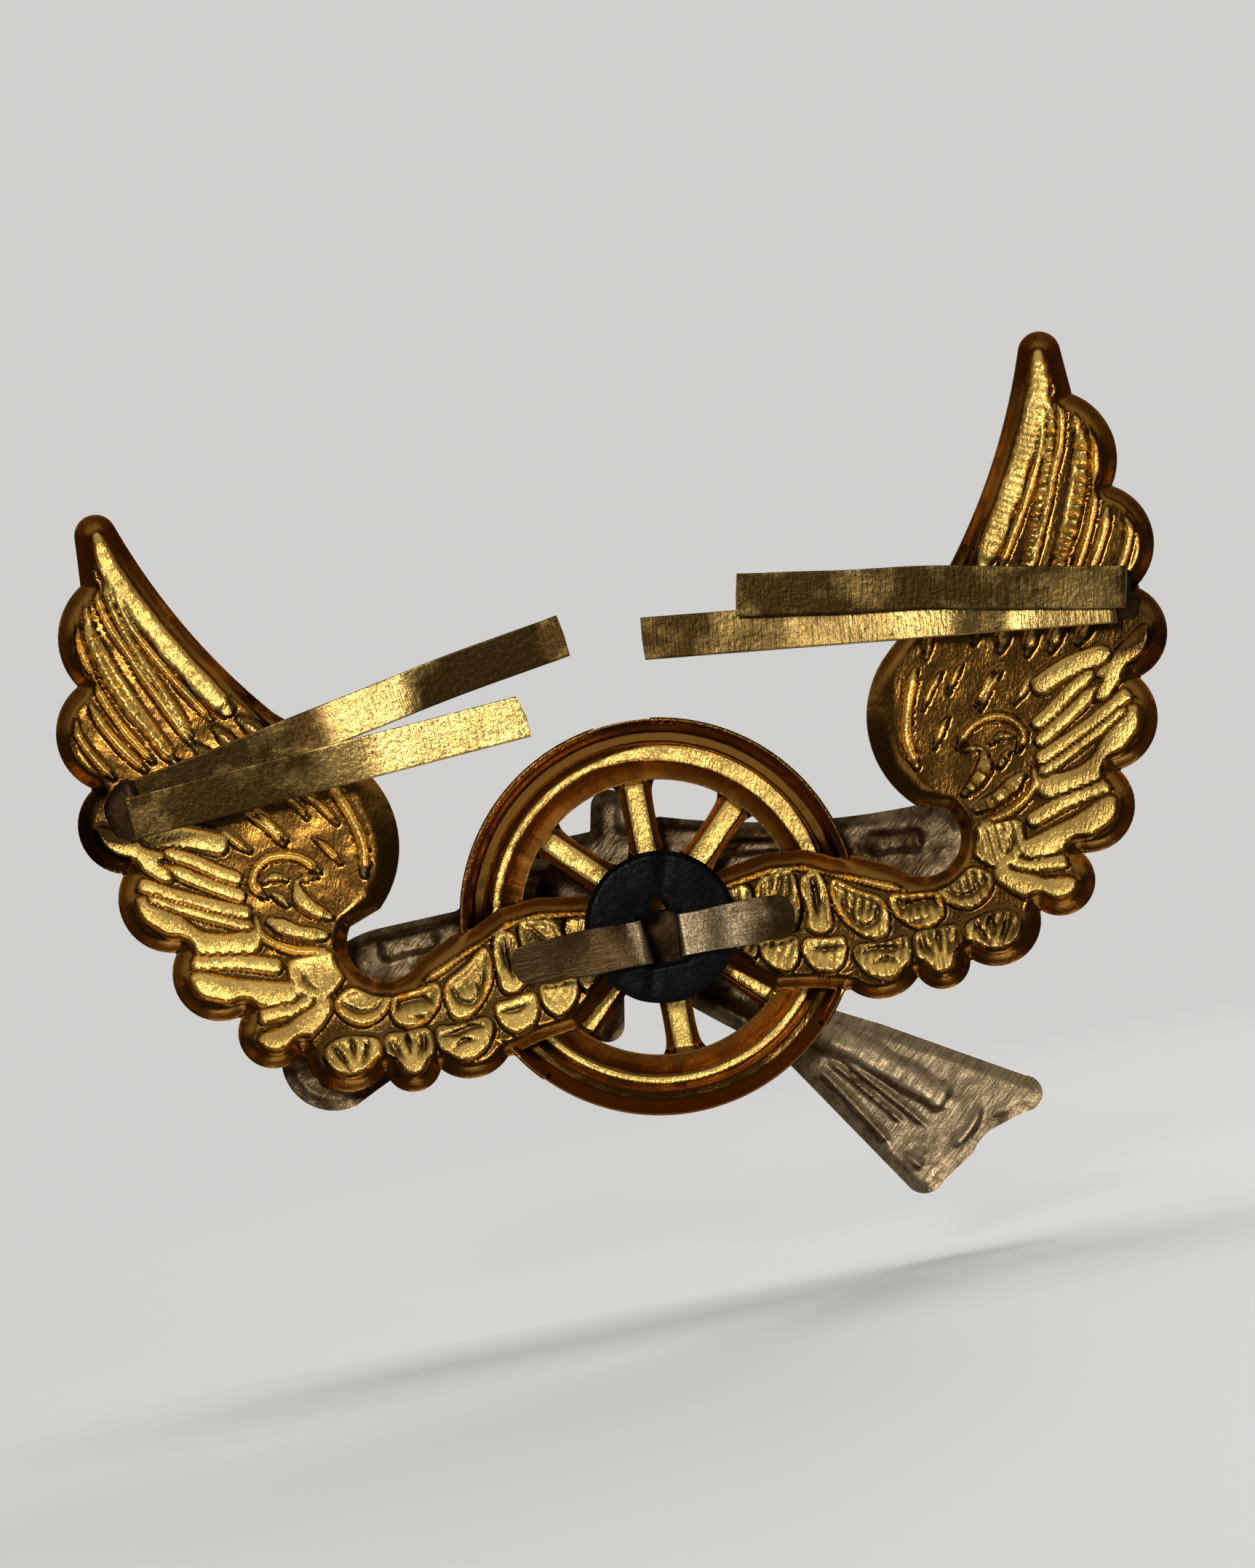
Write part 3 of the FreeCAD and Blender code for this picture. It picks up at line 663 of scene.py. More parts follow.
# Covert feathers of the arm: rise, how hollow, direction of the barbs in degrees, then the outline.
COVERTS = [
    (1.0, 0.10, 100, (17.1, 1.2), (16.1, 1.3), (15.2, 1.3), (14.8, 0.75), (14.7, 0.15), (15.3, -0.55),
     (16.0, -0.8), (16.9, -0.4), (17.2, 0.4)),
    (1.0, 0.30, 100, (15.35, -1.0), (14.7, -0.55), (13.9, -0.65), (12.8, -1.1), (13.0, -1.7),
     (13.5, -2.15), (14.2, -2.35), (14.9, -2.05), (15.3, -1.55)),
    (0.95, 0.45, 95, (12.6, -1.25), (11.6, -1.2), (10.65, -1.05), (10.55, -1.7), (10.95, -2.35),
     (11.5, -2.75), (12.3, -2.8), (12.85, -2.45), (12.9, -1.8)),
    (0.95, 0.40, 80, (10.2, -1.15), (9.2, -0.55), (8.2, 0.15), (7.95, -0.6), (8.2, -1.6), (8.8, -2.4),
     (9.4, -2.85), (10.1, -2.85), (10.35, -2.1)),
    (0.9, 0.30, 85, (7.7, 0.45), (7.0, 0.65), (6.65, 0.2), (6.75, -1.2), (6.6, -1.8), (7.1, -2.2),
     (7.7, -2.0), (7.8, -1.0)),
    (0.85, 0.35, 80, (6.4, 0.9), (5.6, 0.95), (4.75, 0.7), (4.55, -0.3), (4.8, -1.3), (5.5, -1.75),
     (6.2, -1.6), (6.5, -0.6)),
    (0.8, 0.20, 80, (4.3, 0.6), (3.4, 0.6), (2.8, 0.2), (2.8, -0.7), (3.3, -1.35), (3.9, -1.4),
     (4.35, -0.6)),
    (1.0, 0.0, 60, (16.2, -3.0), (15.4, -2.65), (14.4, -2.8), (13.75, -3.1), (13.8, -3.9),
     (14.3, -4.45), (15.1, -4.7), (15.9, -4.3), (16.3, -3.6)),
    (1.0, 0.0, 88, (13.4, -3.0), (12.5, -2.95), (11.4, -3.0), (11.25, -3.9), (11.7, -4.7),
     (12.45, -5.1), (13.1, -4.85), (13.5, -4.1)),
    (0.95, 0.0, 84, (11.0, -3.05), (10.0, -3.1), (8.7, -3.0), (8.45, -3.6), (8.9, -4.4), (9.7, -4.8),
     (10.6, -4.6), (11.1, -3.9)),
    (0.9, 0.15, 75, (8.2, -2.6), (7.4, -2.45), (6.4, -2.3), (6.2, -3.0), (6.6, -3.8), (7.3, -4.1),
     (8.0, -3.6)),
    (0.85, 0.15, 65, (6.0, -2.1), (5.2, -2.1), (4.4, -2.0), (4.3, -2.7), (4.8, -3.4), (5.5, -3.6),
     (6.0, -3.0)),
    (0.7, 0.1, 60, (4.2, -1.8), (3.4, -1.7), (2.9, -1.8), (3.1, -2.4), (3.7, -2.8), (4.15, -2.5)),
]
# Lines cut into the covert feathers: half width, depth as a share of the feather's rise, then the points.
COVERT_CUTS = [
    (0.16, 0.55, (12.75, -2.05), (12.3, -1.65), (11.4, -1.65), (10.95, -2.0)),
    (0.13, 0.5, (12.2, -2.4), (11.6, -2.5), (11.1, -2.4)),
    (0.20, 0.55, (9.9, -1.5), (9.75, -2.1), (9.2, -2.3), (8.75, -1.9), (8.5, -1.1)),
    (0.15, 0.5, (15.1, -1.15), (14.4, -1.7), (13.7, -1.7), (13.2, -1.35)),
    (0.13, 0.5, (16.5, 0.75), (16.55, 0.1), (16.1, -0.35)),
    (0.14, 0.6, (15.8, -2.95), (15.55, -3.6), (15.3, -4.2)),
    (0.14, 0.6, (14.95, -2.8), (14.95, -3.4), (15.0, -3.8)),
    (0.14, 0.6, (14.2, -2.95), (14.4, -3.6), (14.7, -4.1)),
    (0.13, 0.6, (12.4, -3.0), (12.4, -3.5), (12.4, -4.0)),
    (0.22, 0.6, (13.15, -3.3), (13.05, -3.8), (12.8, -4.2)),
    (0.22, 0.6, (11.65, -3.3), (11.75, -3.8), (12.0, -4.2)),
    (0.16, 0.6, (10.75, -3.5), (10.1, -3.5), (9.4, -3.35), (8.9, -3.45)),
    (0.14, 0.55, (10.4, -4.25), (9.9, -3.9), (9.3, -4.0)),
    (0.14, 0.5, (8.0, -2.95), (7.3, -3.0), (6.6, -2.8)),
    (0.14, 0.5, (7.2, 0.3), (7.3, -0.6), (7.15, -1.6)),
    (0.14, 0.5, (5.9, 0.6), (5.4, -0.2), (5.5, -1.2)),
]
# The low ridge along the arm, under its covert feathers.
ARM_RIDGE = (
    0.2, 0.8, 0.0,
    (2.4, 0.75), (4.2, 0.95), (5.8, 1.15), (7.3, 0.85),
    (8.9, 0.15), (11.0, -0.75), (13.0, -0.75), (14.3, 0.1),
)

# The back of the rim's channel from its outer lip to its inner lip: radius and depth.
RIM_CHANNEL = [
    (9.02, 0.0), (8.78, 0.42), (8.52, 0.86), (8.24, 1.0), (8.04, 1.12), (7.9, 1.52),
    (7.6, 1.72), (7.2, 1.6), (6.86, 1.16), (6.6, 0.6), (6.38, 0.0),
]


def under_root(x, z):
    """1 where a wing's root crosses the wheel, falling to 0 at its outline, for either wing."""
    return ease(-polygon_distance(np.array(ROOT_OUTLINE), np.abs(x), z) / ROOT_FADE)


def build_rim():
    """The rim's half-round channel with a stepped floor, spun round the wheel's axis."""
    work = bmesh.new()
    reach = WHEEL_OUTER - CROWN_RADIUS
    profile = []
    for step in range(CROWN_STEPS + 1):
        angle = math.pi * step / CROWN_STEPS
        rise = RIM_DEPTH * math.sin(angle) ** CROWN_FULLNESS
        profile.append((CROWN_RADIUS - reach * math.cos(angle), -rise))
    for radius, depth in smooth_path(RIM_CHANNEL, 4):
        profile.append((radius, -depth))
    ring = [work.verts.new((radius, depth, 0)) for radius, depth in profile]
    edges = [work.edges.new(pair) for pair in zip(ring, ring[1:] + ring[:1])]
    bmesh.ops.spin(
        work,
        geom=ring + edges,
        cent=(0, 0, 0),
        axis=(0, 1, 0),
        dvec=(0, 0, 0),
        angle=2 * math.pi,
        steps=RIM_SEGMENTS,
        use_merge=True,
        use_duplicate=False,
    )
    bmesh.ops.remove_doubles(work, verts=work.verts, dist=1e-4)
    bmesh.ops.recalc_face_normals(work, faces=work.faces)
    struck_and_painted_light = work.verts.layers.float.new("struck_and_painted_light")
    x, z = flat_places(work.verts)
    radius = np.hypot(x, z)
    flattened = ease(((z - 0.9 * x) / radius - 0.75) / 0.6)
    # Painted highlight: a high satin share in a ring along the channel floor, wider where the floor is flattened.
    satin_and_painted_light = ease((HIGHLIGHT_RING_HALF_WIDTH + HIGHLIGHT_RING_WIDENING * flattened - np.abs(radius - HIGHLIGHT_RING_RADIUS)) / 0.2)
    dents = 0.03 * ripple(x, z, 3.1, 0.4) + 0.012 * ripple(x, z, 1.1, 1.9)
    crown = RIM_DEPTH * np.clip(dome(radius - CROWN_RADIUS, reach), 0, 1) ** CROWN_FULLNESS
    changes = zip(work.verts, under_root(x, z), dents, satin_and_painted_light, flattened, crown)
    for vertex, covered, dent, share, flat, front in changes:
        vertex[struck_and_painted_light] = share
        if -vertex.co.y < front - 0.1:
            vertex.co.y = max(vertex.co.y, FLOOR_WEAR * flat - CHANNEL_FLOOR)
        vertex.co.y += dent * min(1.0, -vertex.co.y)
        sunk = min(vertex.co.y, -CLAMP_DEPTH)
        vertex.co.y += (sunk - vertex.co.y) * covered
    return work


def spoke_places(x, z):
    """Distance from the wheel's axis, and distance from the middle line of the nearest spoke."""
    radius = np.hypot(x, z)
    turn = np.arctan2(z, x)
    pitch = 2 * math.pi / SPOKE_COUNT
    return radius, np.abs(radius * np.sin(turn - np.round(turn / pitch) * pitch))


def spider_region(x, z):
    """Hub and spokes, reaching under the rim, with the strap's slot."""
    radius, across = spoke_places(x, z)
    rim_flare = 0.35 * np.exp(-(WHEEL_INNER + 0.1 - radius) / SPOKE_FLARE)
    hub_flare = 0.3 * np.exp(-(radius - HUB_RADIUS) / SPOKE_FLARE)
    spoke = across - SPOKE_HALF - np.clip(rim_flare + hub_flare, 0, 0.8)
    shape = np.minimum(radius - HUB_RADIUS, spoke)
    shape = np.maximum(shape, radius - WHEEL_INNER - SPIDER_OVERLAP)
    slot = np.maximum(np.abs(x) - SLOT_HALF_WIDTH, np.abs(z - strap_drop()) - SLOT_HALF_HEIGHT)
    return np.maximum(shape, -slot)


def spider_rise(x, z, _edge):
    """A dished hub and channelled spokes, sunk under the wings' roots and at the rim."""
    radius, across = spoke_places(x, z)
    channel = np.clip(1 - (across / (SPOKE_HALF + 0.05)) ** 4, 0, 1) ** 0.7
    spoke = 0.1 + SPOKE_RISE * channel * ease((WHEEL_INNER + 0.15 - radius) / 0.5 + 0.3)
    hub = HUB_RISE * ease((HUB_RADIUS + 0.3 - radius) / 0.7)
    height = soft_max(spoke, hub, 0.4)
    height = height + (np.maximum(height, CLAMP_DEPTH) - height) * under_root(x, z)
    height = np.maximum(height, 0.55 * ease((radius - WHEEL_INNER + 0.35) / 0.35))
    # The hub's middle satin share puts the painted shade over it; the spokes' walls get it too.
    satin_and_painted_light = np.where(radius < HUB_RADIUS, HUB_SATIN, ease((SPOKE_HALF - 0.2 - across) / 0.15))
    return height + 0.015 * ripple(x, z, 1.4, 0.8), satin_and_painted_light


class BADGE_OT_wheel(bpy.types.Operator):
    """Add the gilt wheel: the rim's hollow channel, the dished hub and the eight spokes"""

    bl_idname = "badge.add_wheel"
    bl_label = "Gilt wheel"

    def execute(self, context):
        gilt = shared("worn_gilt", gilt_surface)
        rim = finish_mesh(build_rim(), "wheel_rim", "badge", gilt)
        reach = WHEEL_INNER + 0.5
        box = ((-reach, -reach), (reach, reach))
        work = struck_sheet(spider_region, spider_rise, box, SPIDER_GRID, SPIDER_BACK, sizes().sheet)
        spider = finish_mesh(work, "wheel_hub_and_spokes", "badge", gilt)
        for piece in (rim, spider):
            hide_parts("winged_wheel")
        return {"FINISHED"}


# Ridges with a larger half width are flat on top.
BROAD_RIDGE = 0.35
# How far apart the beads along a ridge and the barbs across a covert feather are.
BEAD_PITCH = 0.62
BARB_PITCH = 0.4
# How deep the barbs are cut and how beaded the feathers are on each wing: the right one is more worn.
WING_WEAR = {1: (0.06, 0.5), -1: (0.22, 1.6)}
LOBE_MIDDLE = (12.2, 5.8)
TAB_PAD = (23.4, 9.5)
TAB_DARK_PATCH = (23.7, 9.4)


def wing_region_of(loop):
    """Region of the +X wing: the plate outside the wheel and the root that crosses it."""

    def region(x, z):
        plate = np.maximum(polygon_distance(loop, x, z), WHEEL_OUTER - 0.35 - np.hypot(x, z))
        return np.minimum(plate, polygon_distance(np.array(ROOT_OUTLINE), x, z))

    return region


def ridge(points, half, beads, x, z):
    """Height from 0 to 1 of a ridge along a smooth path, tapering to its ends, and where it is satin."""
    path = smooth_path(points)
    distance, along = path_distance(path, x, z)
    span = np.linalg.norm(np.diff(np.array(path), axis=0), axis=1).sum()
    end = np.minimum(along, 1 - along) * span
    width = half * (0.6 + 0.4 * ease(end / 0.6)) * (1 + 0.08 * np.sin(along * span * 3.1))
    fullness = 4 if half > BROAD_RIDGE else 2
    height = np.clip(1 - (distance / width) ** fullness, 0, 1) ** 0.6 * (0.55 + 0.45 * ease(end / 0.5))
    wobble = np.sin(along * span / BEAD_PITCH * 2 * math.pi + 1.4 * np.sin(along * 17))
    height = height * (1 + beads * np.clip(1.6 * wobble, -1, 1))
    return height, ease((1.0 - distance / width) / 0.35) * np.clip(0.4 + 0.75 * height, 0, 1)


def rounded_loop(points, steps=5):
    """A closed smooth curve through a few points."""
    around = [points[-1]] + list(points) + [points[0], points[1]]
    curve = smooth_path(around, steps)
    return np.array(curve[steps : steps * (len(points) + 1)])


def covert_feathers(barb, x, z):
    """Height of the rounded feathers, and how far each place is outside the nearest one."""
    height = np.zeros(x.shape)
    outside = np.full(x.shape, FAR)
    for share, hollow, turn, *points in COVERTS:
        distance = polygon_distance(rounded_loop(points), x, z)
        inside = 0.13 - distance
        middle = np.mean(points, axis=0)
        angle = math.radians(turn)
        along = (x - middle[0]) * math.cos(angle) + (z - middle[1]) * math.sin(angle)
        across = (z - middle[1]) * math.cos(angle) - (x - middle[0]) * math.sin(angle)
        barbs = 0.5 + 0.5 * np.cos(across * 2 * math.pi / BARB_PITCH + 0.9 * np.sin(2.2 * along))
        body = 1 - hollow * ease((inside - 0.18) / 0.35) * ease((along + 0.75) / 0.9)
        if hollow == 0:
            body = 0.62 + 0.38 * ease((0.6 - along) / 1.4)
        level = share * (body - barb * barbs * ease((inside - 0.1) / 0.2))
        height = np.maximum(height, level * ease((inside - 0.02) / 0.2))
        outside = np.minimum(outside, distance)
    for half, depth, *points in COVERT_CUTS:
        height = height * (1 - depth * ridge(points, half, 0.0, x, z)[0])
    return height, outside


def packed_feathers(x, z):
    """Straight feathers that lie against each other with a groove where two meet, and how near they are."""
    nearest = np.full(x.shape, FAR)
    second = np.full(x.shape, FAR)
    top = np.zeros(x.shape)
    for half, share, *points in SECONDARIES:
        distance = path_distance(smooth_path(points), x, z)[0]
        reach = distance / (half * 1.38)
        level = share * (0.95 - 0.14 * reach ** 2)
        top = np.where(reach < nearest, level, top)
        second = np.minimum(np.maximum(reach, nearest), second)
        nearest = np.minimum(reach, nearest)
    grooved = ease((second - nearest) / 0.35)
    within = ease((1.2 - nearest) / 0.3)
    return top * grooved * within, nearest


def near(x, z, middle, reach, fade):
    """1 close to a place, falling to 0 at the reach over the fade."""
    return ease((reach - np.hypot(x - middle[0], z - middle[1])) / fade)


def wing_relief(side):
    """How far each place of a wing is struck forward; side is 1 for the right wing and -1 for the left."""
    barb, beading = WING_WEAR[side]

    def rise(x, z, edge):
        inside = -edge
        relief = np.zeros(x.shape)
        satin_and_painted_light = np.zeros(x.shape)
        for half, share, beads, *points in PRIMARIES + CURLS + SHOULDER + [ARM_RIDGE]:
            height, bright = ridge(points, half, beads * beading, x, z)
            relief = np.maximum(relief, share * height)
            satin_and_painted_light = np.maximum(satin_and_painted_light, bright)
        straight, reach = packed_feathers(x, z)
        coverts, outside = covert_feathers(barb, x, z)
        relief = np.maximum(relief, np.maximum(straight, coverts))
        satin_and_painted_light = np.maximum(satin_and_painted_light, np.maximum(ease(straight / 0.7), np.clip(coverts / 0.85, 0, 1)))
        between = np.maximum(ease((2.0 - reach) / 0.6), ease((0.95 - outside) / 0.4))
        border = sizes().border * (1 + 0.75 * near(x, z, LOBE_MIDDLE, 3.6, 2.0))
        bounded = ease((inside - 0.8 * border) / 0.25)
        relief = relief * bounded
        cove = np.sin(np.clip(inside / border, 0, 1) * math.pi / 2) ** 1.3
        lip = 0.05 * ease((0.2 - inside) / 0.15)
        relief = relief * (1 - 0.75 * near(x, z, TAB_PAD, 1.5, 0.9))
        ground = sizes().panel_rise * cove - lip
        waver = 0.02 * ripple(x + 7 * side, z, 2.3, 0.3) + 0.003 * ripple(x, z + 5 * side, 0.7, 1.1)
        # Between and round the feathers the satin share is kept at a middle value, which puts the painted shade
        # there.
        satin_and_painted_light = np.maximum(satin_and_painted_light, 0.4 * between) * bounded
        # A darker patch round a tab's foot, where the satin share is pulled to a middle value.
        satin_and_painted_light = satin_and_painted_light + (0.43 - satin_and_painted_light) * near(x, z, TAB_DARK_PATCH, 2.1, 0.9)
        # Painted shade: the outer part of the left wing gets a smaller satin share, so it is darker.
        if side < 0:
            satin_and_painted_light = satin_and_painted_light * (1 - 0.22 * ease((x - 12.5) / 2.5) * ease((14.0 - z) / 4.0))
        return ground + sizes().feather_rise * relief + waver, np.clip(satin_and_painted_light, 0, 1)

    return rise


class BADGE_OT_wings(bpy.types.Operator):
    """Add both gilt wings, each a sheet struck with feathers inside a smooth border"""

    bl_idname = "badge.add_wings"
    bl_label = "Gilt wings"

    def execute(self, context):
        gilt = shared("worn_gilt", gilt_surface)
        region = wing_region_of(section_outline("winged_wheel", WING_SECTION))
        high = node_box("winged_wheel")[1]
        box = (WING_CORNER, (high.x + 0.1, high.z + 0.1))
        for side, name in ((1, "right_wing"), (-1, "left_wing")):
            work = struck_sheet(region, wing_relief(side), box, sizes().spacing, WING_BACK, sizes().sheet)
            if side < 0:
                bmesh.ops.scale(work, verts=work.verts, vec=(-1, 1, 1))
                bmesh.ops.reverse_faces(work, faces=work.faces)
            piece = finish_mesh(work, name, "badge", gilt)
            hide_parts("winged_wheel")
        return {"FINISHED"}


# ---------------------------------------------------------------- the aeroplane

PLANE_BACK = -2.22
PLANE_SECTION = -2.5
PLANE_SHEET = 0.35
PLANE_GRID = 0.12
FUSELAGE = [(3.9, 1.8), (2.0, 0.1), (-3.0, -4.1), (-7.0, -7.5), (-11.0, -10.9)]
# Lengthwise ridges of the tail and of the wings: half width, rise, beading, points.
PLANE_RIDGES = [
    (0.75, 1.0, 0.02, (-6.4, -6.6), (-8.2, -8.1), (-10.0, -9.7), (-11.6, -11.1)),
    (0.20, 0.7, 0.02, (-6.4, -8.0), (-7.8, -9.7), (-9.3, -11.6)),
    (0.26, 0.8, 0.02, (-5.9, -8.3), (-7.2, -10.3), (-8.5, -12.4)),
    (0.24, 0.8, 0.0, (-7.2, -8.3), (-8.8, -10.1), (-10.3, -11.9)),
    (0.22, 0.6, 0.0, (-7.4, -12.0), (-7.9, -12.8), (-8.6, -13.7)),
    (0.60, 0.9, 0.0, (-9.1, -13.6), (-9.4, -13.4), (-9.7, -13.1)),
    (0.30, 0.7, 0.0, (-13.0, -11.4), (-12.3, -12.3), (-11.2, -13.2)),
    (0.60, 0.7, 0.02, (17.0, -4.4), (14.5, -4.1), (12.0, -3.4)),
    (0.70, 0.8, 0.02, (13.2, 0.9), (11.6, 1.0), (10.0, 1.1)),
    (0.60, 0.8, 0.02, (-9.9, 1.4), (-11.3, 1.3), (-12.9, 1.1)),
    (0.40, 0.7, 0.02, (8.0, 2.4), (5.5, 2.7), (3.0, 2.6)),
    (0.40, 0.7, 0.02, (-2.0, 2.6), (-5.0, 2.3), (-8.0, 1.8)),
    (0.45, 0.7, 0.02, (7.5, -1.8), (4.5, -1.5), (2.0, -1.4)),
]


def plane_rise(x, z, edge):
    """A thin struck sheet: a rolled edge, a round fuselage, and ridges along the tail and wings."""
    inside = -edge
    height = 0.16 * np.sin(np.clip(inside / 0.6, 0, 1) * math.pi / 2)
    relief = np.zeros(x.shape)
    for half, share, beads, *points in PLANE_RIDGES:
        relief = soft_max(relief, share * ridge(points, half, beads, x, z)[0] ** 1.8, 0.25)
    relief = relief * ease((inside - 0.3) / 0.3)
    height = height + 0.34 * relief
    spine, along = path_distance(FUSELAGE, x, z)
    girth = 1.55 - 1.2 * along
    height = soft_max(height, 1.1 * (1 - 0.8 * along) * dome(spine, girth), 0.3)
    waver = 0.025 * ripple(x, z, 2.4, 0.6) + 0.012 * ripple(x, z, 0.8, 1.0)
    # Browning over the plane, lighter on the tail and lightest on the tail's ridges.
    tail = ease((-5.5 - x) / 1.5) * ease((-4.5 - z) / 1.5)
    browned = 0.66 - tail * (0.3 + 0.36 * np.clip(relief, 0, 1))
    return height + waver, browned


class BADGE_OT_aeroplane(bpy.types.Operator):
    """Add the nickel silver aeroplane on the badge's front, struck from thin sheet"""

    bl_idname = "badge.add_aeroplane"
    bl_label = "Aeroplane"

    def execute(self, context):
        nickel = shared("dull_nickel", nickel_surface, math.radians(-42))
        outline = section_outline("aeroplane", PLANE_SECTION)
        box = boxed(*node_box("aeroplane"))

        def region(x, z):
            return polygon_distance(outline, x, z)

        work = struck_sheet(region, plane_rise, box, PLANE_GRID, PLANE_BACK, PLANE_SHEET, "browned")
        piece = finish_mesh(work, "struck_aeroplane", "badge", nickel)
        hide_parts("aeroplane")
        return {"FINISHED"}


# ---------------------------------------------------------------- washer, strap and tabs

STRIP_STEP = 0.1
BEND_RADIUS = 0.26
BEND_STEPS = 8
EDGE_ROUNDING = 0.03
# A skewed cut at a tip fades over the first length, and sags and sways fade over the last before the root.
SKEW_LENGTH = 1.5
ROOT_LENGTH = 1.8
LOOK_ALONG = 0.05


def bend_path(tip, root, level, foot):
    """Centre line of a strip: along a leg from its tip, round a right-angled bend, and down to its foot."""
    tip = Vector((tip[0], level, tip[1]))
    root = Vector((root[0], level, root[1]))
    forward = (root - tip).normalized()
    down = Vector((0, -1, 0))
    middle = root - forward * BEND_RADIUS + down * BEND_RADIUS
    path = [tip]
    for step in range(BEND_STEPS + 1):
        angle = math.pi / 2 * step / BEND_STEPS
        path.append(middle + (forward * math.sin(angle) - down * math.cos(angle)) * BEND_RADIUS)
    path.append(Vector((root.x, foot, root.z)))
    return path


# How a strip departs from a straight ruler: all lengths in millimetres along it from its tip. The middle five
# are (place, value) keys.
StripShape = namedtuple(
    "StripShape",
    "half_width thickness leans sags sways widths browned skew round_tip",
    defaults=((), (), (), (), (), 0.0, 0.0),
)


def keyed(keys, place):
    """A smooth value read off a few (place, value) keys."""
    if not keys:
        return 0.0
    if place <= keys[0][0]:
        return keys[0][1]
    for (a, low), (b, high) in zip(keys, keys[1:]):
        if place <= b:
            share = (place - a) / (b - a)
            return low + (high - low) * share * share * (3 - 2 * share)
    return keys[-1][1]


def bent_strip(path, shape):
    """A strip of sheet along a path: its width, lean and sag change along it, and its edges are rounded."""
    points = np.array([tuple(p) for p in path])
    lengths = np.linalg.norm(np.diff(points, axis=0), axis=1)
    marks = np.concatenate([[0], np.cumsum(lengths)])
    total = marks[-1]
    forward = Vector(points[1] - points[0]).normalized()
    across = forward.cross(Vector((0, 1, 0))).normalized()
    facing = 1 if across.z > 0 else -1
    across = across * facing

    def at(place):
        return Vector([np.interp(place, marks, points[:, axis]) for axis in range(3)])

    work = bmesh.new()
    rows = round(total / STRIP_STEP)
    columns = round(2 * shape.half_width / STRIP_STEP)
    bmesh.ops.create_grid(work, x_segments=rows, y_segments=columns, size=1.0)
    browned = work.verts.layers.float.new("browned")
    for vertex in work.verts:
        place = (vertex.co.x + 1) / 2 * total
        vertex[browned] = keyed(shape.browned, place)
        share = vertex.co.y
        if place < SKEW_LENGTH:
            place = max(place + shape.skew * share * (SKEW_LENGTH - place) / SKEW_LENGTH, 0.0)
        heading = (at(place + LOOK_ALONG) - at(place - LOOK_ALONG)).normalized()
        normal = across.cross(heading) * facing
        half = shape.half_width + keyed(shape.widths, place)
        if place < shape.round_tip:
            drop = 1 - place / shape.round_tip
            half = half * max((1 - drop ** 2.6) ** 0.5, 0.3)
        lean = math.radians(keyed(shape.leans, place))
        side = across * math.cos(lean) - normal * math.sin(lean)
        fade = float(ease((total - ROOT_LENGTH - place) / 1.2))
        sag = normal * keyed(shape.sags, place) * fade
        sway = across * keyed(shape.sways, place) * fade
        vertex.co = at(place) + side * (half * share) + sag + sway
    bmesh.ops.recalc_face_normals(work, faces=work.faces)
    if sum(face.normal.y for face in work.faces) < 0:
        bmesh.ops.reverse_faces(work, faces=work.faces)
    bmesh.ops.solidify(work, geom=work.faces[:], thickness=shape.thickness)
    bmesh.ops.recalc_face_normals(work, faces=work.faces)
    sharp = [edge for edge in work.edges if edge.calc_face_angle(0) > 0.9]
    bmesh.ops.bevel(
        work,
        geom=sharp,
        offset=EDGE_ROUNDING,
        offset_type="OFFSET",
        segments=2,
        profile=0.5,
        affect="EDGES",
        material=-1,
    )
    return work


class Leg:
    """A bending leg as the frame has it: pivot, direction and reach in millimetres, its body and node."""

    def __init__(self, joint_name):
        joint = next(item for item in frame["joints"] if item["name"] == joint_name)
        self.body = joint["child"]
        self.node = frame["record"]["behaviour"]["bodies"][self.body][0]
        self.pivot = Vector(joint["pos_m"]) / MM
        self.along = Vector((0, 1, 0)).cross(Vector(joint["axis"])).normalized()
        corners = [Vector(vertex.co) / MM for vertex in frame["nodes"][self.node].data.vertices]
        self.reach = max((corner - self.pivot).dot(self.along) for corner in corners)

    def path(self, foot):
        """Centre line from the leg's tip to its foot on the badge."""
        tip = self.pivot + self.along * self.reach
        return bend_path((tip.x, tip.z), (self.pivot.x, self.pivot.z), self.pivot.y, foot)


def add_strip(name, leg, shape, foot, material, fold):
    """Make a strip that bends between the badge and its leg, in place of the frame's leg and fold."""
    work = bent_strip(leg.path(foot), shape)
    piece = finish_mesh(work, name + "_strip", None, material, 40.0)
    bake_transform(piece)
    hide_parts(leg.node, fold)


def brazing(name, middle, size, seed, node):
    """A flattened, uneven blob of brazing in place of one of the frame's nodes."""
    work = bmesh.new()
    bmesh.ops.create_icosphere(work, subdivisions=5, radius=1.0)
    x, z = flat_places(work.verts)
    lumps = 1 + 0.10 * ripple(x + seed, z, 1.1, 0.5) + 0.03 * ripple(x, z + seed, 0.3, 0.2)
    for vertex, lump in zip(work.verts, lumps):
        vertex.co.x *= size[0] * lump
        vertex.co.y *= size[1] * lump
        vertex.co.z *= size[2] * lump
    bmesh.ops.translate(work, verts=work.verts, vec=middle)
    piece = finish_mesh(work, name, "badge", shared("burnt_brazing", solder_surface))
    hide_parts(node)


TAB_FOOT = -0.8
# The brazing of each tab: half sizes, offset in x from between the legs' roots, and a seed for its lumps.
TAB_BRAZING = {
    "right": ((1.05, 0.42, 1.4), 0.35, 1.0),
    "left": ((0.8, 0.34, 1.15), -0.25, 4.0),
}

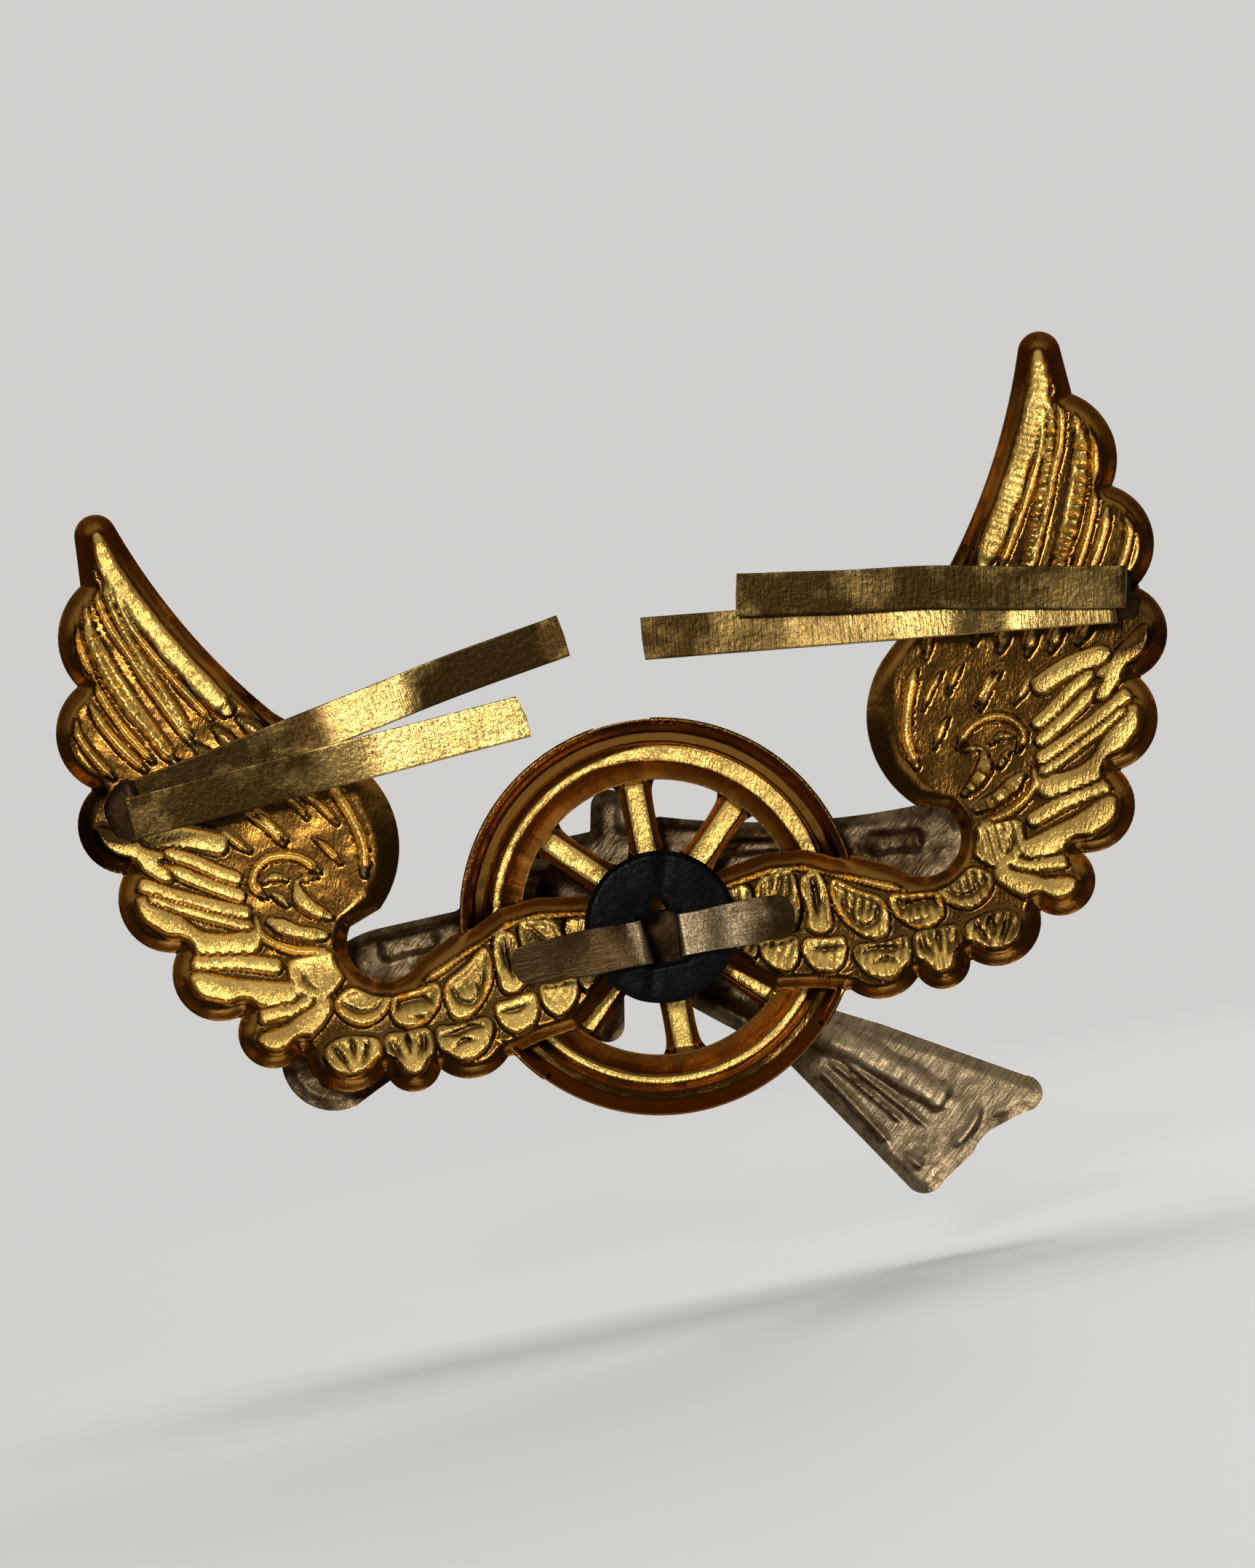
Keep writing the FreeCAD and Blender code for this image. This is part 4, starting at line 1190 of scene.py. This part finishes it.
# How each tab leg has been bent by use, measured along it from its tip. The keys of browning paint tarnish
# together with painted shade and painted highlight that follow the legs' tilts: high keys make a leg dark brown,
# low keys leave it bright brass.
TAB_SHAPES = {
    "right_tab_over": StripShape(
        0.975, 0.3, skew=0.22,
        leans=((0, 3.0), (6.5, 2.6), (8.6, -3.5), (14.0, -3.0), (18.0, -2.0)),
        sags=((0, -0.02), (4, -0.06), (9, -0.04), (13, -0.08), (17, 0.0)),
        browned=((0, 0.2), (6.5, 0.12), (8.4, 0.5), (10.5, 0.9), (15.0, 0.95), (18.5, 0.8)),
    ),
    "right_tab_under": StripShape(
        0.975, 0.3, skew=-0.1,
        leans=((0, 2.5), (0.9, 1.5), (1.6, -5.0), (6.8, -5.0), (8.2, 4.0), (12.0, 3.0), (14.5, -4.0)),
        sags=((0, -0.1), (5, -0.2), (9.5, -0.02), (12, -0.1), (16, 0.0)),
        sways=((0, 0.0), (6, 0.12), (12, 0.08), (17, 0.0)),
        browned=((0, 0.95), (0.8, 0.95), (1.3, 1.1), (6.4, 0.95), (8.4, 0.25), (10.8, 0.3), (12.2, 0.9)),
    ),
    "left_tab_over": StripShape(
        0.975, 0.3, skew=0.05,
        leans=((0, -2.0), (6, -2.6), (12, -1.0), (16, -3.0)),
        sags=((0, -0.06), (8, -0.04), (13, -0.06), (16, -0.02)),
        sways=((0, -0.12), (4, -0.05), (9, 0.12), (13, 0.04), (16, 0.0)),
        browned=((0, 0.85), (8, 0.9), (13, 0.85), (16, 0.7)),
    ),
    "left_tab_under": StripShape(
        0.975, 0.3, skew=-0.08,
        leans=(
            (0, 1.0), (6, 1.5), (9, 5.5), (14.2, 6.5), (15.2, -3.0), (16.3, -2.0), (17.2, 6.0), (19.0, 4.0),
        ),
        sags=((0, -0.25), (5, -0.3), (10, -0.12), (14, 0.0), (15.5, -0.16), (18, -0.02)),
        browned=(
            (0, 0.9), (6, 0.78), (10, 0.5), (14.5, 0.15), (15.4, 0.75), (16.3, 0.7), (17.3, 0.2), (20, 0.5),
        ),
    ),
}
# The strap's keys of browning make its legs darker towards their tips and lighter near the bend.
STRAP_SHAPES = {
    "strap_right": StripShape(
        1.0, 0.34, round_tip=0.6,
        widths=((0, -0.16), (1.2, -0.06), (3.5, 0.06), (5.4, 0.02)),
        leans=((0, -6.0), (2.0, -4.0), (4.0, 2.0), (5.6, 8.0)),
        sags=((0, -0.12), (1.5, -0.05), (3.5, -0.08), (5.0, 0.0)),
        browned=((0, 1.4), (2.2, 1.4), (4.0, 1.35), (5.3, 0.9), (6.2, 0.3)),
    ),
    "strap_left": StripShape(
        1.0, 0.34, round_tip=0.4,
        widths=((0, -0.2), (0.9, -0.02), (2.0, 0.04), (4.6, -0.04)),
        leans=((0, -6.0), (1.0, -2.0), (2.6, 5.0), (4.6, 6.0)),
        sags=((0, -0.16), (1.2, -0.04), (3.0, -0.06), (4.4, 0.0)),
        browned=((0, 0.9), (1.5, 0.65), (3.0, 0.3), (5.2, 0.1)),
    ),
}


class BADGE_OT_tabs(bpy.types.Operator):
    """Add the two brass tabs, each a strip with two legs, and the brazing at their feet"""

    bl_idname = "badge.add_tabs"
    bl_label = "Brass tabs"

    def execute(self, context):
        for side, (size, offset, seed) in TAB_BRAZING.items():
            fold = side + "_tab_fold"
            roots = []
            for place in ("over", "under"):
                name = f"{side}_tab_{place}"
                leg = Leg(name + "_bend")
                turn = math.atan2(leg.along.z, leg.along.x)
                brass = shared(f"tab_brass_{side}_{place}", strip_surface, turn)
                add_strip(name, leg, TAB_SHAPES[name], TAB_FOOT, brass, fold)
                roots.append(leg.pivot)
            middle = (roots[0] + roots[1]) / 2
            middle.y = TAB_FOOT + 0.12
            middle.x += offset
            brazing(side + "_tab_brazing", middle, size, seed, side + "_tab_solder")
        return {"FINISHED"}


class BADGE_OT_strap(bpy.types.Operator):
    """Add the nickel silver strap, whose two legs open over the washer, and the brazing at its foot"""

    bl_idname = "badge.add_strap"
    bl_label = "Strap"

    def execute(self, context):
        foot = node_box("strap_fold")[0].y + 0.1
        nickel = shared("strap_nickel", nickel_surface, 0.0)
        for name in ("strap_right", "strap_left"):
            leg = Leg(name + "_bend")
            add_strip(name, leg, STRAP_SHAPES[name], foot, nickel, "strap_fold")
        low, high = node_box("strap_solder")
        brazing("strap_brazing", (low + high) / 2, (high - low) / 2 * 0.95, 2.5, "strap_solder")
        return {"FINISHED"}


WASHER_GRID = 0.09


class BADGE_OT_washer(bpy.types.Operator):
    """Add the black fibre washer behind the hub, creased across its middle"""

    bl_idname = "badge.add_washer"
    bl_label = "Fibre washer"

    def execute(self, context):
        low, high = node_box("hub_washer")
        middle = (low + high) / 2
        radius = (high.x - low.x) / 2

        def region(x, z):
            disc = np.hypot(x - middle.x, z - middle.z) - radius + 0.02 * ripple(x, z, 2.2)
            hole = np.maximum(np.abs(x) - 0.85, np.abs(z - strap_drop()) - 1.12)
            tail = np.maximum(np.abs(x) - 0.42 * (1.25 - z), np.abs(z - 0.5) - 0.65)
            return np.maximum(disc, -np.minimum(hole, tail))

        def rise(x, z, edge):
            rounding = 0.14 * (1 - ease(-edge / 0.22))
            crease = 0.05 * ease(1 - np.abs(x + 0.3 * z) / 0.5)
            height = rounding + 0.04 + crease + 0.02 * ripple(x, z, 2.6, 0.7)
            return height, ease(-edge / 0.3)

        work = struck_sheet(region, rise, boxed(low, high), WASHER_GRID, high.y, high.y - low.y - 0.1)
        fibre = shared("black_fibre", fibre_surface)
        piece = finish_mesh(work, "fibre_washer", "badge", fibre)
        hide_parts("hub_washer")
        return {"FINISHED"}


# ---------------------------------------------------------------- stage

CAMERA_TARGET = Vector((0.26, 0.0, 6.26))
PICTURE_HEIGHT = 71.87
CAMERA_ROLL = 11.0
SENSOR_WIDTH = 36.0
FLOOR_REACH = 3.0
FLOOR_DROP = 3.0
# How strongly the room lights the badge from the front and from the back, and how bright the room looks.
FRONT_LIGHT = 0.6
ROOM_LIGHT = 0.035
BACKDROP_LIGHT = 0.64
# Lights: name, place from the badge's middle and diameter in metres, and power in watts.
LIGHTS = (
    ("key", (0.055, 0.30, 0.075), 0.05, 0.30),
    ("low_fill", (-0.20, 0.30, 0.10), 0.12, 0.035),
    ("overhead", (0.0, -0.10, 0.55), 0.5, 1.9),
    ("front_key", (-0.14, -0.38, 0.12), 0.14, 0.5),
)


def add_area_light(name, place, target, size, power):
    """A round light that shines on the target and isn't seen itself."""
    light = bpy.data.lights.new(name, "AREA")
    light.shape = "DISK"
    light.size = size
    light.energy = power
    lamp = bpy.data.objects.new(name, light)
    lamp.location = place
    lamp.rotation_euler = (target - place).to_track_quat("-Z", "Y").to_euler()
    lamp.visible_camera = False
    bpy.context.scene.collection.objects.link(lamp)


def build_world():
    """A plain pale room, whose light on the badge is dimmer on the side of the fastenings."""
    world = bpy.data.worlds.new("pale_room")
    world.use_nodes = True
    tree = world.node_tree
    backdrop = tree.nodes["Background"]
    coordinates = tree.nodes.new("ShaderNodeTexCoord")
    split = tree.nodes.new("ShaderNodeSeparateXYZ")
    ramp = tree.nodes.new("ShaderNodeMapRange")
    ramp.interpolation_type = "SMOOTHSTEP"
    ramp.inputs["From Min"].default_value = -0.9
    ramp.inputs["From Max"].default_value = 0.3
    ramp.inputs["To Min"].default_value = FRONT_LIGHT
    ramp.inputs["To Max"].default_value = ROOM_LIGHT
    sight = tree.nodes.new("ShaderNodeLightPath")
    level = tree.nodes.new("ShaderNodeMix")
    tree.links.new(coordinates.outputs["Generated"], split.inputs["Vector"])
    tree.links.new(split.outputs["Y"], ramp.inputs["Value"])
    tree.links.new(sight.outputs["Is Camera Ray"], level.inputs["Factor"])
    tree.links.new(ramp.outputs["Result"], level.inputs["A"])
    level.inputs["B"].default_value = BACKDROP_LIGHT
    tree.links.new(level.outputs["Result"], backdrop.inputs["Strength"])
    backdrop.inputs["Color"].default_value = (1.0, 0.985, 0.96, 1.0)
    bpy.context.scene.world = world


def build_camera():
    """A long lens straight behind the badge, rolled so that the badge leans."""
    camera = bpy.data.cameras.new("badge_camera")
    camera.lens = sizes().camera_lens
    camera.sensor_width = SENSOR_WIDTH
    holder = bpy.data.objects.new("badge_camera", camera)
    distance = PICTURE_HEIGHT * MM * camera.lens / camera.sensor_width
    holder.location = CAMERA_TARGET * MM + Vector((0, distance, 0))
    look = Matrix.Rotation(math.pi, 4, "Z") @ Matrix.Rotation(math.pi / 2, 4, "X")
    roll = Matrix.Rotation(-math.radians(CAMERA_ROLL), 4, "Z")
    holder.rotation_euler = (look @ roll).to_euler()
    camera.clip_start = 0.01
    camera.clip_end = 10.0
    bpy.context.scene.collection.objects.link(holder)
    bpy.context.scene.camera = holder


class BADGE_OT_stage(bpy.types.Operator):
    """Add the pale floor, the soft lights and the camera"""

    bl_idname = "badge.add_stage"
    bl_label = "Floor, lights and camera"

    def execute(self, context):
        low, high = CAD_BOX
        work = bmesh.new()
        bmesh.ops.create_grid(work, x_segments=8, y_segments=8, size=FLOOR_REACH)
        mesh = bpy.data.meshes.new("floor")
        work.to_mesh(mesh)
        work.free()
        mesh.transform(Matrix.Translation((0, 0, low.z - FLOOR_DROP * MM)))
        mesh.materials.append(shared("pale_floor", floor_surface))
        floor = bpy.data.objects.new("floor", mesh)
        context.scene.collection.objects.link(floor)
        centre = (low + high) / 2
        for name, offset, size, power in LIGHTS:
            add_area_light(name, centre + Vector(offset), centre, size, power)
        build_world()
        build_camera()
        context.scene.view_settings.view_transform = "Standard"
        return {"FINISHED"}


# ---------------------------------------------------------------- panel and registration


class BADGE_PT_panel(bpy.types.Panel):
    """Lists the badge's pieces in the order in which they are added"""

    bl_idname = "BADGE_PT_panel"
    bl_label = "Winged wheel badge"
    bl_space_type = "VIEW_3D"
    bl_region_type = "UI"
    bl_category = "Badge"

    def draw(self, context):
        column = self.layout.column()
        for operator in OPERATORS:
            column.operator(operator.bl_idname)


OPERATORS = (
    BADGE_OT_stage,
    BADGE_OT_wheel,
    BADGE_OT_wings,
    BADGE_OT_aeroplane,
    BADGE_OT_washer,
    BADGE_OT_strap,
    BADGE_OT_tabs,
)
CLASSES = (BadgeSizes, BadgeColours) + OPERATORS + (BADGE_PT_panel,)


def register():
    for item in CLASSES:
        bpy.utils.register_class(item)
    bpy.types.Scene.badge_sizes = PointerProperty(type=BadgeSizes)
    bpy.types.Scene.badge_colours = PointerProperty(type=BadgeColours)


def unregister():
    del bpy.types.Scene.badge_colours
    del bpy.types.Scene.badge_sizes
    for item in reversed(CLASSES):
        bpy.utils.unregister_class(item)


def main():
    register()
    for operator in OPERATORS:
        group, name = operator.bl_idname.split(".")
        getattr(getattr(bpy.ops, group), name)()


if __name__ == "__main__":
    main()
